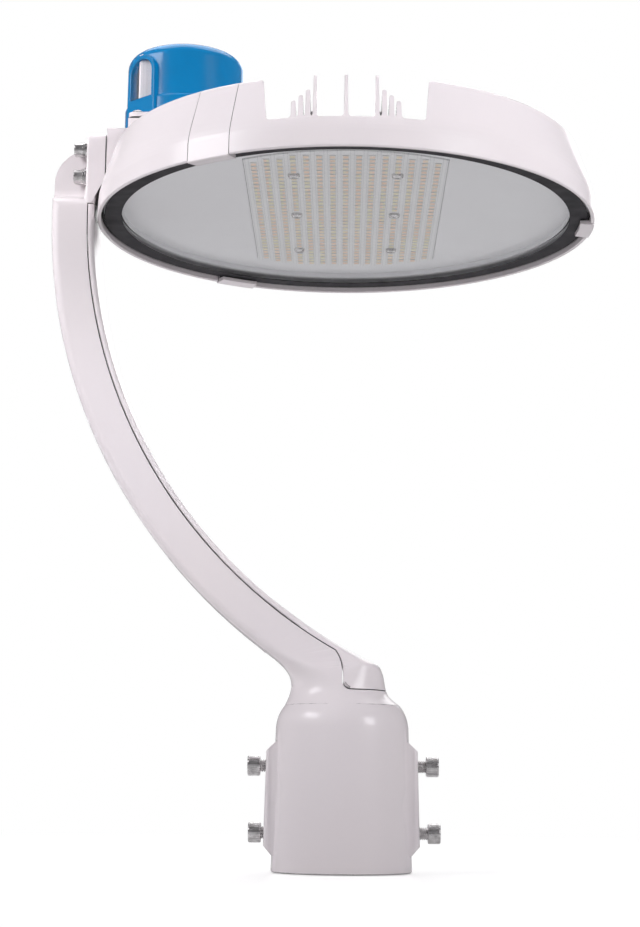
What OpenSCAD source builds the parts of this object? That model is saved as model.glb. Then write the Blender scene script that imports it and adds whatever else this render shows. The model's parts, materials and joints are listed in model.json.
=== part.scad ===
// Post top area light: a cast collar and curved arm carry a round LED head.
// Origin: centre of the socket's mouth. +Z is up, the arm stands on the -X side.

/* [Pole collar] */
// Outside diameter of the pole top that the collar slips over
tenon_d = 76.2; // [74:0.1:78]
// Radial clearance between the pole top and the socket
tenon_clearance = 0.5; // [0.3:0.1:0.8]
// Wall of the collar at its mouth
collar_wall = 6.4; // [5.8:0.1:7.2]
// Depth of the socket, up to the ledge that rests on the pole
socket_depth = 85; // [80:1:88]
// Lean of the collar's outside, from its mouth to its shoulder
collar_draft = 2.4; // [0:0.1:3]
// Radius of the neck between the shoulder and the arm
neck_r = 30.4; // [29.5:0.1:31]
// Offset of the neck towards the arm
neck_shift = 2.5; // [2:0.1:3]
// Height of the arm cover's foot above the socket's ledge
foot_rise = 29.5; // [28.5:0.5:31]
// Radius of the wire passage through the neck
neck_bore_r = 20; // [16:0.5:21]
// Face of the clamp bosses, from the pole's axis, at the upper screws
boss_reach = 48.3; // [47:0.1:51]
// Width of a clamp boss
boss_w = 26; // [20:1:30]

/* [Clamp screws] */
// Nominal diameter of a clamp screw
clamp_d = 8; // [6:1:8]
// Length of a clamp screw under its head
clamp_len = 12; // [11:0.5:13]
// Height of the lower clamp screws
clamp_z = 24.5; // [22:0.5:30]
// Distance between the lower and the upper clamp screws
clamp_pitch = 42; // [36:1:44]
// Gap that the screws' heads leave to their bosses: right top, right bottom, left top, left bottom
clamp_gap = [5.6, 5.6, 4.1, 2.1];

/* [Arm] */
// Gap between the head's lip and the face of the arm's cover
arm_gap = 0.7; // [0.5:0.1:1.5]
// Depth of the arm from its outer face to the cover's face
arm_depth = 28.8; // [27.5:0.1:30]
// Height of the glass above the level where the arm starts to curve
arm_drop = 1.5; // [0:0.5:4]
// Point where the arm's inner curve lands on the neck: X, and height above the socket's ledge
arm_landing = [17.5, 47.6];
// Width of the arm
arm_w = 45; // [44:0.5:46]
// Wall of the arm's open channel
arm_wall = 5; // [4:0.1:5.5]
// Corner radius along the arm's outer edges
arm_corner = 6; // [3:0.5:6.5]

/* [Arm cover] */
// Thickness of the wireway cover
cover_t = 4.2; // [3.6:0.1:4.6]
// Depth of the lips that locate the cover in the channel
lip_depth = 6; // [4:0.5:8]
// Thickness of those lips
lip_t = 2; // [1.6:0.1:2.4]
// Wall of the cover's hollow foot
foot_wall = 3; // [2.4:0.1:3.4]
// Seam between the cover and the casting
seam_gap = 0.5; // [0.3:0.05:0.7]

/* [Flange joint] */
// Distance of the flange's mating face inside the head's outer radius
flange_inset = 5.7; // [5.2:0.1:6.2]
// Thickness of the flange
flange_t = 12.5; // [11.5:0.5:13]
// Height of the flange's top edge above the glass
flange_rise = 55.5; // [55:0.5:56.5]
// Height of the lower flange screws above the glass
flange_screw_rise = 27; // [26.5:0.1:27.5]
// Distance between the lower and the upper flange screws
flange_pitch_z = 19; // [18:0.5:19.5]
// Distance between the front and the back flange screws
flange_pitch_y = 31; // [30:0.5:31]
// Thickness of the gasket between the flange and the head
flange_gasket_t = 1; // [0.8:0.1:1.2]
// Diameter of the supply cable
cable_d = 7; // [6:0.5:7.5]
// Radius of the cable passage through the arm's top
passage_r = 5.5; // [5:0.1:5.5]

/* [Head housing] */
// Height of the glass's outer face above the socket's mouth
lens_z = 427.5; // [426:0.5:429]
// Outer radius of the head at its lip
head_r = 166.2; // [165.8:0.1:166.6]
// Lean of the wall, from the lip in to its top rim
rim_inset = 11.5; // [10.2:0.1:13]
// Height of the upright band above the glass
band_rise = 12.8; // [12.4:0.1:13.2]
// Height of the wall's top rim above the glass
rim_rise = 45.1; // [44:0.1:46]
// Depth of the lip below the glass
lip_drop = 3.3; // [3:0.1:3.8]
// Thickness of the lip round the glass
lip_wall = 2.5; // [2.2:0.1:2.8]
// Thickness of the sloping wall
head_wall = 3.6; // [3.2:0.1:4]
// Height of the deck's upper face above the glass
deck_rise = 15.5; // [15:0.1:16]
// Height of the deck's lower face above the glass
deck_under = 8.5; // [8.3:0.1:8.8]
// Half width of the two drain notches in the wall
notch_half = 49.5; // [46:0.5:51]

/* [Heat sink] */
// Distance between the tall fins
fin_pitch = 18.5; // [18.3:0.1:19]
// Thickness of a fin at its foot
fin_t = 2.7; // [2.2:0.1:3]
// Thickness of a fin at its top
fin_top_t = 2; // [1.6:0.1:2.2]
// Distance of the webs that join the low ribs from the head's middle
web_y = 117; // [112:1:122]
// Thickness of those webs
web_t = 5; // [4:0.5:6]
// Thickness of a low rib beside the tall fins
rib_t = 3.2; // [2.4:0.1:3.6]
// Distance between the low ribs
rib_pitch = 4.3; // [4.1:0.1:4.8]

/* [Lens] */
// Gap round the glass, inside the lip
glass_gap = 1.7; // [1.4:0.1:2.3]
// Thickness of the glass
glass_t = 3.9; // [3.5:0.1:4.1]
// Width of the printed border
border_w = 12; // [10:0.5:15]
// Thickness of the printed border
border_t = 0.15; // [0.1:0.05:0.2]
// Width of the glass's gasket
seal_w = 9.5; // [8:0.1:10.4]

/* [Lens clips] */
// Angle that each clip takes of the wall
clip_angle = 10.2; // [9:0.1:11]
// Reach of a clip's foot over the glass
clip_lap = 5.2; // [1.5:0.1:5.5]
// Depth of a clip's foot below the glass
clip_drop = 4.3; // [4:0.1:4.6]
// Thickness of the pad between a clip's foot and the glass
clip_pad_t = 1; // [0.8:0.1:1.2]
// Gap between a clip and its slot, at the rim
clip_gap = 0.3; // [0.2:0.05:0.4]

/* [LED board] */
// Radius of the board's round ends
board_r = 127; // [124:0.5:128]
// Width of the board
board_w = 127.2; // [125:0.2:129]
// Thickness of the board
board_t = 1.6; // [1.4:0.1:1.8]
// Distance between columns of LEDs
led_pitch_x = 8.2; // [8:0.1:8.3]
// Distance between the LEDs of a column
led_pitch_y = 7.1; // [7:0.1:8]
// Number of columns
led_columns = 15; // [13:2:15]
// Side of an LED
led_w = 3; // [2.4:0.2:3.2]
// Height of an LED
led_t = 0.7; // [0.5:0.1:1]
// Distance between rows of board screws
board_screw_pitch = 82.5; // [80:0.5:86]
// Thickness of the reflector plate
reflector_t = 0.8; // [0.6:0.1:1]

/* [Driver box] */
// Distance of the driver box inside the head's outer radius
box_inset = 24.2; // [23.8:0.1:25]
// Length of the driver box along X
box_l = 84; // [83:0.5:85]
// Width of the driver box along Y
box_w = 108; // [100:1:110]
// Height of the box's walls above the deck
box_h = 39; // [38.5:0.5:40]
// Wall of the driver box
box_wall = 4; // [3.5:0.1:4.2]
// Thickness of the box's lid
lid_t = 3; // [2.5:0.1:3.2]
// Thickness of the lid's gasket
lid_gasket_t = 1.2; // [1:0.1:1.4]
// Width of the LED driver
driver_w = 41; // [36:0.5:41]
// Height of the LED driver
driver_h = 20; // [14:0.5:21]

/* [Photocell] */
// Distance of the photocell's axis inside the head's outer radius
photocell_inset = 56.8; // [55.2:0.1:57.2]
// Radius of the photocell's skirt
skirt_r = 41; // [40.4:0.1:41.5]
// Radius of the photocell's dome
dome_r = 39.6; // [39:0.1:40]
// Height of the photocell's cover
dome_h = 52.4; // [51:0.1:53]
// Height of the skirt
skirt_h = 14.5; // [13:0.5:15.5]
// Wall of the cover
dome_wall = 2; // [1.6:0.1:2.2]
// Rounding of the dome's upper edge
dome_round = 9; // [6:0.5:10]
// Direction of the window, seen from above
window_turn = 229; // [220:1:235]
// Width of the window's frame
frame_w = 25.2; // [24:0.2:28]
// Width of the frame's border
frame_border = 2.6; // [2.4:0.1:3.2]
// Radius of the receptacle's body
socket_r = 26; // [25:0.1:27]
// Radius of the ring of contact blades
blade_r = 19; // [18:0.5:19.5]
// Thickness of a contact blade
blade_t = 1.6; // [1.4:0.1:1.8]
// Length of a contact blade
blade_l = 13; // [12:0.5:14]
// Turn between locked and free
lock_turn = 35; // [30:1:36]

/* [Clearances] */
// Radial clearance of a screw in a tapped hole or a shaft in its bearing
running_gap = 0.05; // [0.03:0.01:0.09]
// Gap between faces that move past each other
face_gap = 0.3; // [0.25:0.05:0.4]

/* [Hidden] */
$fn = 96;
fine = 180;
eps = 0.01;

// Collar and neck
socket_r_in = tenon_d / 2 + tenon_clearance;
collar_r = socket_r_in + collar_wall;
boss_lean = 0.025;
boss_low = 10.8;
boss_slope = 5.7;
boss_high = clamp_z + clamp_pitch + 9.5;
clamp_top = clamp_z + clamp_pitch;

// Arm curve: a circle that leaves the head upright and passes through the landing point
arm_face = head_r + arm_gap;
arm_reach = arm_face + arm_depth;
arc_z = lens_z - arm_drop;
land_run = arm_landing[0] + arm_face;
land_fall = arc_z - socket_depth - arm_landing[1];
face_r = (land_run * land_run + land_fall * land_fall) / 2 / land_run;
arm_r = face_r + arm_depth;
arc_x = face_r - arm_face;
land_turn = asin(land_fall / face_r);
seam_r = face_r + cover_t;
foot_x = 0.3;
foot_z = socket_depth + foot_rise;
foot_round = 5;
foot_sweep = 24;
foot_top = foot_z + 10.6;
face_corner = 3;
function on_arm(r, a) = [arc_x - r * cos(a), arc_z - r * sin(a)];

// Direction along the arm towards the head, and a point of a curve with two handles
function along_arm(a) = [-sin(a), cos(a)];
function curve_point(p, t) =
    pow(1 - t, 3) * p[0] + 3 * t * pow(1 - t, 2) * p[1] + 3 * t * t * (1 - t) * p[2] + t * t * t * p[3];

// Neck: sections between the collar's shoulder and the arm, as left end, right end,
// half width and squareness
corner_steps = 6;
neck_steps = 2;
top_end = land_turn - 10.8;
arc_end = 180 + top_end + 0.5;
channel_start = 182;
channel_end = 180 + land_turn - 4.3;
cable_end = 180 + land_turn - 10.3;
collar_top_r = collar_r - collar_draft;
shoulder_r = collar_top_r - 5.6;
shoulder_z = socket_depth + 20;
neck_z = socket_depth + 32;
neck_left = -neck_shift - neck_r;
neck_right = neck_r - neck_shift;
neck_half = neck_r - 0.6;
left_curve = [
    [neck_left, neck_z], [neck_left, neck_z + 9.8],
    on_arm(arm_r, top_end) - 14.1 * along_arm(top_end), on_arm(arm_r, top_end)
];
right_curve = [
    [neck_right, neck_z - 0.6], [neck_right - 2.2, neck_z + 17.4],
    on_arm(face_r, land_turn) - 1.3 * along_arm(land_turn), on_arm(face_r, land_turn)
];
function neck_width(share) = arm_w / 2 + share * (neck_half - arm_w / 2);
neck_path = [
    [-shoulder_r, shoulder_z, shoulder_r, shoulder_z, shoulder_r, 0],
    [neck_left - 1.5, shoulder_z + 5.8, neck_right + 2, shoulder_z + 5.8, neck_r + 1.8, 0],
    [neck_left, neck_z, neck_right, neck_z - 0.6, neck_half, 0.05],
    // Along both curves: share of the left one, of the right one, of the width, squareness
    for (s = [[0.17, 0.13, 0.84, 0.15], [0.3, 0.28, 0.7, 0.3], [0.41, 0.47, 0.56, 0.45], [0.55, 1, 0.4, 0.6]])
        [each curve_point(left_curve, s[0]), each curve_point(right_curve, s[1]), neck_width(s[2]), s[3]],
    // Above the landing point: share of the left curve, turn along the arm, width, squareness
    for (s = [[0.69, 2.8, 0.25, 0.75], [0.81, 5.5, 0.12, 0.87], [0.94, 8.1, 0.04, 0.96]])
        [each curve_point(left_curve, s[0]), each on_arm(face_r, land_turn - s[1]), neck_width(s[2]), s[3]],
    [each on_arm(arm_r + 0.15, top_end), each on_arm(face_r - 0.15, top_end), arm_w / 2 + 0.15, 1],
    [each on_arm(arm_r - 0.5, top_end - 2.5), each on_arm(face_r + 0.5, top_end - 2.5), arm_w / 2 - 0.5, 1]
];
cover_top = lens_z + 6.5;
cable_x = arm_reach - arm_wall - (arm_depth - arm_wall - cover_t) / 2;
cable_arc_r = arc_x + cable_x;

// Flange joint
flange_x = head_r - flange_inset;
flange_top = lens_z + flange_rise;
flange_back = flange_x + flange_t;
pad_x = flange_x - flange_gasket_t;
pad_top = flange_top + 3;
flange_z = lens_z + flange_screw_rise;
passage_z = flange_z + flange_pitch_z / 2 - 3.5;
cable_bend = 12;
flange_bend_z = lens_z + 23.5;
flange_low_z = lens_z + 11.5;
passage_low = arc_z - face_r * sin(channel_start - 180) - 1;

// Head
lip_z = lens_z - lip_drop;
band_z = lens_z + band_rise;
rim_z = lens_z + rim_rise;
deck_z = lens_z + deck_rise;
deck_low = lens_z + deck_under;
band_r = head_r - 0.55;
rim_r = head_r - rim_inset;
lip_in = head_r - lip_wall;
glass_r = lip_in - glass_gap;
border_r = glass_r - border_w;
seal_r = glass_r - seal_w;
glass_top = lens_z + glass_t;
seal_top = lens_z + 5.5;
wall_slope = (band_r - rim_r) / (rim_z - band_z);
wall_angle = atan(wall_slope);
wall_flat = head_wall / cos(wall_angle);
fin_top = rim_z + 0.6;
rib_top = fin_top - 10.5;
rib_fall = 3.7;
rib_start = fin_pitch + 4.2;

bend_top = band_z + 9;
function wall_out(z) = band_r - (z - band_z) * wall_slope;
function wall_bend(t) =
    (1 - t) * (1 - t) * [band_r + 0.18, band_z - 5] + 2 * t * (1 - t) * [band_r, band_z]
    + t * t * [wall_out(bend_top), bend_top];
wall_curve = [for (i = [0:4]) wall_bend(i / 4)];
function wall_in(z) = wall_out(z) - wall_flat;
function arc_points(cx, cy, r, a0, a1, n) =
    [for (i = [0:n]) [cx + r * cos(a0 + (a1 - a0) * i / n), cy + r * sin(a0 + (a1 - a0) * i / n)]];

// Clips
clip_in = lip_in - 0.9;
clip_back = 4.4;
clip_turns = [0, 120, 240];

// Driver box and photocell
box_back = head_r - box_inset;
box_x = box_back - box_l;
photocell_x = head_r - photocell_inset;
box_top = deck_z + box_h;
lid_z = box_top + lid_gasket_t;
lid_top = lid_z + lid_t;
lid_screw_inset = 5.5;
block_x = box_back - 16;
block_h = 21;
block_l = 22;
block_w = 38;
// Room between the parts in the box, and between them and its walls
box_gap = 4;
driver_y = 1 + box_wall - box_w / 2;
socket_t = 2.5;
block_y = driver_y + driver_w + socket_t + 1;
surge_l = block_x - block_l - box_gap - box_x - box_wall - 6;
surge_w = 24;
receptacle_z = lid_top + 1 + face_gap;
receptacle_top = receptacle_z + 2;
photocell_z = receptacle_top + face_gap;
blade_angle = 30;
dome_z = photocell_z + dome_h;
frame_face = dome_r + 2.2;
frame_low = photocell_z + skirt_h;
frame_arch_z = dome_z - dome_round - frame_w / 2 + 1;

white = "WhiteSmoke";
steel = "Silver";

// Extrudes an outline drawn in X and Z across the arm's plane
module across(w) {
    rotate([90, 0, 0])
        translate([0, 0, -w / 2])
            linear_extrude(w) children();
}

// Extrudes an outline drawn in Y and Z along X, from x0 to x1
module along(x0, x1) {
    translate([x0, 0, 0])
        rotate([90, 0, 90])
            linear_extrude(x1 - x0) children();
}

// Sweeps a section, drawn as radius and width, round the arm's centre
module sweep_arm(a0, a1) {
    translate([arc_x, 0, arc_z])
        rotate([90, 0, 0])
            rotate_extrude(angle = a1 - a0, start = a0, $fn = fine) children();
}

// Turns a profile of radius and height through part of a circle about Z
module sector(turn, angle) {
    rotate_extrude(angle = angle, start = turn - angle / 2, $fn = fine) children();
}

// Rectangle from x0 to x1, centred in Y, with its own radius at either end
module round_strip(x0, x1, w, r0, r1) {
    h = w / 2;
    polygon(concat(
        arc_points(x0 + r0, r0 - h, r0, 180, 270, 6),
        arc_points(x1 - r1, r1 - h, r1, 270, 360, 6),
        arc_points(x1 - r1, h - r1, r1, 0, 90, 6),
        arc_points(x0 + r0, h - r0, r0, 90, 180, 6)
    ));
}

// Rounded rectangle about the origin
module round_rect(l, w, r) {
    translate([-l / 2, 0]) round_strip(0, l, w, r, r);
}

// Socket head cap screw: head towards +Z, its seat at z = 0
module cap_screw(d, length) {
    difference() {
        union() {
            rotate_extrude()
                polygon([
                    [0, 0], [0.8 * d, 0], [0.8 * d, 0.94 * d], [0.74 * d, d], [0, d]
                ]);
            translate([0, 0, -length]) cylinder(d = d, h = length + eps);
        }
        translate([0, 0, 0.45 * d]) cylinder(d = 0.86 * d, h = d, $fn = 6);
    }
}

// Pan head screw: head towards +Z, its seat at z = 0
module pan_screw(d, length) {
    difference() {
        union() {
            rotate_extrude()
                polygon(concat(
                    [[0, 0], [0.95 * d, 0]],
                    arc_points(0.55 * d, 0.2 * d, 0.4 * d, 0, 90, 4),
                    [[0, 0.6 * d]]
                ));
            translate([0, 0, -length]) cylinder(d = d, h = length + eps, $fn = 32);
        }
        translate([0, 0, 0.35 * d]) cylinder(d = 0.6 * d, h = d, $fn = 6);
    }
}

// Outline of one section of the neck: left and right ends, half width, squareness
function neck_section(s) =
    let (
        half = norm([s[2] - s[0], s[3] - s[1]]) / 2,
        ux = (s[2] - s[0]) / 2 / half,
        uz = (s[3] - s[1]) / 2 / half,
        cx = (s[0] + s[2]) / 2,
        cz = (s[1] + s[3]) / 2
    )
    [for (corner = [0:3], i = [0:corner_steps])
        let (
            a = 90 * (corner + i / corner_steps),
            edge = corner == 0 || corner == 3 ? face_corner : arm_corner,
            ru = (1 - s[5]) * 0.97 * half + s[5] * edge,
            rv = (1 - s[5]) * 0.97 * s[4] + s[5] * edge,
            su = corner == 0 || corner == 3 ? 1 : -1,
            sv = corner < 2 ? 1 : -1,
            u = su * (half - ru) + ru * cos(a),
            v = sv * (s[4] - rv) + rv * sin(a)
        )
        [cx + u * ux, v, cz + u * uz]];

// Smooth value between b and c, with a and d as the outer neighbours
function smooth(a, b, c, d, t) =
    b + (c - a) * t / 2 + (2 * a - 5 * b + 4 * c - d) * t * t / 2 + (3 * b - a - 3 * c + d) * t * t * t / 2;

// Outside of the neck, from the collar's shoulder up into the arm
module neck() {
    last = len(neck_path) - 1;
    sections = [
        for (i = [0:last - 1], k = [0:neck_steps - 1])
            smooth(
                neck_path[max(i - 1, 0)], neck_path[i], neck_path[i + 1], neck_path[min(i + 2, last)],
                k / neck_steps
            ),
        neck_path[last]
    ];
    m = 4 * (corner_steps + 1);
    n = len(sections);
    polyhedron(
        points = [for (s = sections) each neck_section(s)],
        faces = [
            [for (j = [0:m - 1]) j],
            [for (j = [0:m - 1]) n * m - 1 - j],
            for (i = [0:n - 2], j = [0:m - 1], half = [0, 1])
                half == 0
                    ? [i * m + j, (i + 1) * m + j, (i + 1) * m + (j + 1) % m]
                    : [i * m + j, (i + 1) * m + (j + 1) % m, i * m + (j + 1) % m]
        ]
    );
}

// Outside shape that the casting and its cover share
module arm_outside() {
    sweep_arm(180, arc_end) round_strip(face_r, arm_r, arm_w, face_corner, arm_corner);
    neck();
}

// Part of the arm that belongs to the cover, grown by g at the seam
module cover_zone(g) {
    sweep_arm(179.9, 180 + land_turn - 2.3)
        translate([face_r - 5, -arm_w]) square([cover_t + 5 + g, 2 * arm_w]);
    translate([arc_x - seam_r - g, -arm_w, arc_z - 1])
        cube([seam_r - face_r + 10, 2 * arm_w, cover_top - arc_z + 1 + g]);
    across(2 * arm_w)
        polygon(concat(
            arc_points(foot_x + foot_round, foot_z + foot_round, foot_round + g, 270, 180, 6),
            arc_points(foot_x - foot_sweep, foot_top, foot_sweep - g, 0, 54, 9),
            [[foot_x - foot_sweep / 2, foot_top + 40], [60, foot_top + 40], [60, foot_z - g]]
        ));
}

// Hollow behind the cover's foot, bounded by the foot's walls
module foot_hollow() {
    intersection() {
        across(arm_w - 2 * foot_wall)
            difference() {
                translate([-20, foot_z - 1]) square([20 + neck_r - neck_shift - foot_wall - 2.6, 30]);
                translate([arc_x, arc_z]) circle(r = face_r + foot_wall, $fn = fine);
            }
        translate([-neck_shift, 0, foot_z - 2]) cylinder(r = neck_r - foot_wall - 1, h = 40);
    }
}

// Round body of the collar, up to the shoulder
module collar_body() {
    rotate_extrude()
        polygon([
            [0, 0], [collar_r - 0.8, 0], [collar_r, 0.8],
            [collar_top_r, socket_depth + 6], [collar_top_r - 0.6, socket_depth + 10],
            [collar_top_r - 1.7, socket_depth + 13.5], [collar_top_r - 3.3, socket_depth + 16.8],
            [shoulder_r, socket_depth + 20], [0, socket_depth + 20]
        ]);
}

// Flat boss for two clamp screws, on the +X side
module clamp_boss() {
    low = boss_reach + (clamp_top - boss_low - boss_slope) * boss_lean;
    high = boss_reach + (clamp_top - boss_high) * boss_lean;
    intersection() {
        across(boss_w)
            polygon([
                [socket_r_in + 1, boss_low], [collar_r - 0.5, boss_low],
                [low, boss_low + boss_slope], [high, boss_high],
                [collar_r - collar_draft - 0.5, boss_high + boss_slope], [socket_r_in + 1, boss_high + boss_slope]
            ]);
        translate([0, 0, boss_low])
            linear_extrude(boss_high + boss_slope - boss_low)
                round_strip(0, low + 1, boss_w, 1, 5);
    }
}

// Web that carries the flange, narrowed beside the flange screws
module flange_web() {
    half = flange_pitch_y / 2 - 6.5;
    // Two equal arcs lead from the arm's side to the narrow web
    narrow = arm_w / 2 - half;
    rise = 15.5;
    turn = 2 * atan(narrow / rise);
    blend = rise / 2 / sin(turn);
    web_z = flange_z - 7;
    intersection() {
        across(arm_w)
            polygon(concat(
                [[-arm_reach, lens_z - eps]],
                arc_points(-flange_back, flange_z - 2, arm_reach - flange_back, 180, 95, 10),
                [[-flange_back + 2, flange_z - 2 + arm_reach - flange_back], [-flange_back + 2, lens_z - eps]]
            ));
        along(-arm_reach - 1, -flange_back + 3)
            polygon(concat(
                [[-arm_w / 2, lens_z - 1]],
                arc_points(blend - arm_w / 2, web_z - rise, blend, 180, 180 - turn, 6),
                arc_points(-half - blend, web_z, blend, 360 - turn, 360, 6),
                [[-half, flange_top], [half, flange_top]],
                arc_points(half + blend, web_z, blend, 180, 180 + turn, 6),
                arc_points(arm_w / 2 - blend, web_z - rise, blend, turn, 0, 6),
                [[arm_w / 2, lens_z - 1]]
            ));
        translate([arc_x, 0, lens_z - 2])
            rotate([0, 0, 180])
                linear_extrude(flange_rise + 4)
                    round_strip(arc_x + flange_back - 5, arm_r, arm_w, 0.5, arm_corner);
    }
}

// Flange with its slanting lower edge
module flange_plate() {
    foot_out = 1.6;
    intersection() {
        across(arm_w)
            polygon([
                [-flange_back, flange_top], [-flange_x, flange_top], [-flange_x, flange_bend_z],
                [-arm_face, flange_low_z], [-arm_face, cover_top + seam_gap],
                [-flange_back - foot_out, cover_top + seam_gap], [-flange_back - 0.9 * foot_out, flange_low_z],
                [-flange_back, flange_z - 8]
            ]);
        // Rounded vertical edges at the back
        translate([0, 0, lens_z])
            linear_extrude(flange_rise + 4)
                rotate(180) round_strip(head_r / 2, flange_back + foot_out, arm_w, 1, foot_out + 2.2);
        along(-arm_reach, -flange_x + 1)
            translate([0, flange_top]) rotate(-90)
                round_strip(0, 80, arm_w, 4, 1);
    }
}

// Places children at the four flange screws, their heads towards -X
module at_flange_screws(x) {
    for (y = [-1, 1], row = [0, 1])
        translate([-x, y * flange_pitch_y / 2, flange_z + row * flange_pitch_z])
            rotate([0, -90, 0]) children();
}

// Places children at one clamp screw: side is 1 or -1, row is 0 or 1
module at_clamp(side, row) {
    translate([0, 0, clamp_z + row * clamp_pitch])
        rotate([0, side * 90, 0]) children();
}

// Quarter bend of the cable or its passage, from the channel towards the head
module elbow(r) {
    translate([-cable_x + cable_bend, 0, passage_z - cable_bend])
        rotate([90, 0, 0])
            rotate_extrude(angle = 90, start = 90)
                translate([cable_bend, 0]) circle(r = r, $fn = 32);
}

module arm_casting() {
    color(white)
        difference() {
            union() {
                collar_body();
                clamp_boss();
                mirror([1, 0, 0]) clamp_boss();
                difference() {
                    union() {
                        arm_outside();
                        translate([arc_x, 0, arc_z - eps])
                            rotate([0, 0, 180])
                                linear_extrude(flange_z - 22.5 - arc_z)
                                    round_strip(face_r, arm_r, arm_w, face_corner, arm_corner);
                        flange_web();
                        flange_plate();
                    }
                    cover_zone(seam_gap);
                }
            }
            // Channel for the supply cable, open towards the cover
            sweep_arm(channel_start, channel_end)
                translate([seam_r - 2, arm_wall - arm_w / 2])
                    square([arm_r - arm_wall - seam_r + 2, arm_w - 2 * arm_wall]);
            foot_hollow();
            translate([0, 0, socket_depth - 1]) cylinder(r = neck_bore_r, h = foot_rise + 6);
            // Socket for the pole
            rotate_extrude()
                polygon([
                    [0, -1], [socket_r_in, -1], [socket_r_in, socket_depth], [0, socket_depth]
                ]);
            for (side = [1, -1], row = [0, 1])
                at_clamp(side, row)
                    translate([0, 0, socket_r_in - 3])
                        cylinder(r = clamp_d / 2 + running_gap, h = 20);
            // Passage from the channel through the flange
            translate([-cable_x, 0, passage_low])
                cylinder(r = passage_r, h = passage_z - cable_bend - passage_low);
            elbow(passage_r);
            translate([-cable_x + cable_bend, 0, passage_z])
                rotate([0, 90, 0]) cylinder(r = passage_r, h = cable_x - cable_bend - flange_x + 1);
            at_flange_screws(flange_x - 1) cylinder(d = 6.6, h = flange_t + 12);
        }
}

module arm_cover() {
    color(white) {
        difference() {
            union() {
                intersection() {
                    union() {
                        arm_outside();
                        translate([arc_x, 0, arc_z - eps])
                            rotate([0, 0, 180])
                                linear_extrude(cover_top - arc_z + eps)
                                    round_strip(face_r, arm_r, arm_w, face_corner, arm_corner);
                    }
                    cover_zone(0);
                }
                // Lips that drop into the channel
                for (y = [-1, 1])
                    sweep_arm(channel_start + 2, channel_end - 5)
                        translate([seam_r - 1, y * (arm_w / 2 - arm_wall - lip_t / 2 - 0.4) - lip_t / 2])
                            square([lip_depth + 1, lip_t]);
            }
            foot_hollow();
            // Shallow notch for prying the foot off, on either side
            for (y = [-1, 1])
                translate([foot_x + foot_round, y * (neck_half + 5), foot_z + foot_round])
                    rotate([90, 0, 0])
                        translate([0, 0, -6.2])
                            linear_extrude(12.4)
                                polygon(concat(
                                    arc_points(0, 0, 4.6, 190, 262, 8),
                                    arc_points(0, 0, 3.4, 262, 190, 8)
                                ));
        }
    }
}

module clamp_screw(side, row, gap) {
    reach = boss_reach + (1 - row) * clamp_pitch * boss_lean;
    color(steel)
        at_clamp(side, row)
            translate([0, 0, reach + gap]) cap_screw(clamp_d, clamp_len);
}

module clamp_screw_1() {
    clamp_screw(1, 1, clamp_gap[0]);
}

module clamp_screw_2() {
    clamp_screw(1, 0, clamp_gap[1]);
}

module clamp_screw_3() {
    clamp_screw(-1, 1, clamp_gap[2]);
}

module clamp_screw_4() {
    clamp_screw(-1, 0, clamp_gap[3]);
}

module flange_screws() {
    color(steel)
        at_flange_screws(flange_back + 2.8) cap_screw(6, 28);
}

module flange_spring_washers() {
    color("DarkGray")
        at_flange_screws(flange_back + 1.3)
            difference() {
                cylinder(r = 5.2, h = 1.5);
                translate([0, 0, -1]) cylinder(r = 3.1, h = 4);
                translate([3, -0.5, -1]) cube([4, 1, 4]);
            }
}

module flange_flat_washers() {
    color(steel)
        at_flange_screws(flange_back)
            difference() {
                cylinder(r = 6, h = 1.3);
                translate([0, 0, -1]) cylinder(r = 3.2, h = 4);
            }
}

module flange_gasket() {
    color([0.1, 0.1, 0.1])
        difference() {
            translate([0, 0, 0])
                along(-flange_x, -pad_x)
                    translate([0, flange_top - 1]) rotate(-90)
                        round_strip(0, flange_top - flange_bend_z - 1, arm_w - 2, 3, 1);
            at_flange_screws(pad_x - 1) cylinder(d = 6.6, h = 4);
            translate([-flange_x - 1, 0, passage_z])
                rotate([0, 90, 0]) cylinder(r = passage_r + 1, h = 4);
        }
}

module cable_grommet() {
    color([0.12, 0.12, 0.12])
        translate([-box_back + box_wall - 6, 0, passage_z])
            rotate([0, 90, 0])
                rotate_extrude()
                    polygon([
                        [cable_d / 2 + 0.05, 0], [passage_r, 0], [passage_r, 6],
                        [passage_r + 3, 6], [passage_r + 2, 8], [cable_d / 2 + 0.05, 8]
                    ]);
}

module supply_cable() {
    color([0.15, 0.15, 0.15]) {
        translate([-cable_x + cable_bend, 0, passage_z])
            rotate([0, 90, 0]) cylinder(d = cable_d, h = cable_x - cable_bend - block_x, $fn = 32);
        elbow(cable_d / 2);
        translate([-cable_x, 0, arc_z])
            cylinder(d = cable_d, h = passage_z - cable_bend - arc_z, $fn = 32);
        sweep_arm(180, cable_end)
            translate([cable_arc_r, 0]) circle(d = cable_d, $fn = 32);
    }
}

module supply_connector() {
    color("Orange")
        translate([arc_x, 0, arc_z])
            rotate([0, -cable_end, 0])
                translate([cable_arc_r, 0, 0])
                    difference() {
                        translate([-4.5, -9, 0]) cube([9, 18, 14]);
                        for (y = [-6, 0, 6])
                            translate([0, y, 6]) cylinder(d = 4, h = 9, $fn = 24);
                    }
}

// Fin outline with filleted foot and round top
module fin_outline(t, top_t, top) {
    foot = 2.5;
    polygon(concat(
        arc_points(-t / 2 - foot, deck_z + foot, foot, 270, 360, 4),
        arc_points(0, top - top_t / 2, top_t / 2, 180, 0, 6),
        arc_points(t / 2 + foot, deck_z + foot, foot, 180, 270, 4),
        [[t / 2 + foot, deck_z - 1], [-t / 2 - foot, deck_z - 1]]
    ));
}

module fin(x, t, top_t, top) {
    translate([x, 0, 0])
        across(2 * head_r) fin_outline(t, top_t, top);
}

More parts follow.
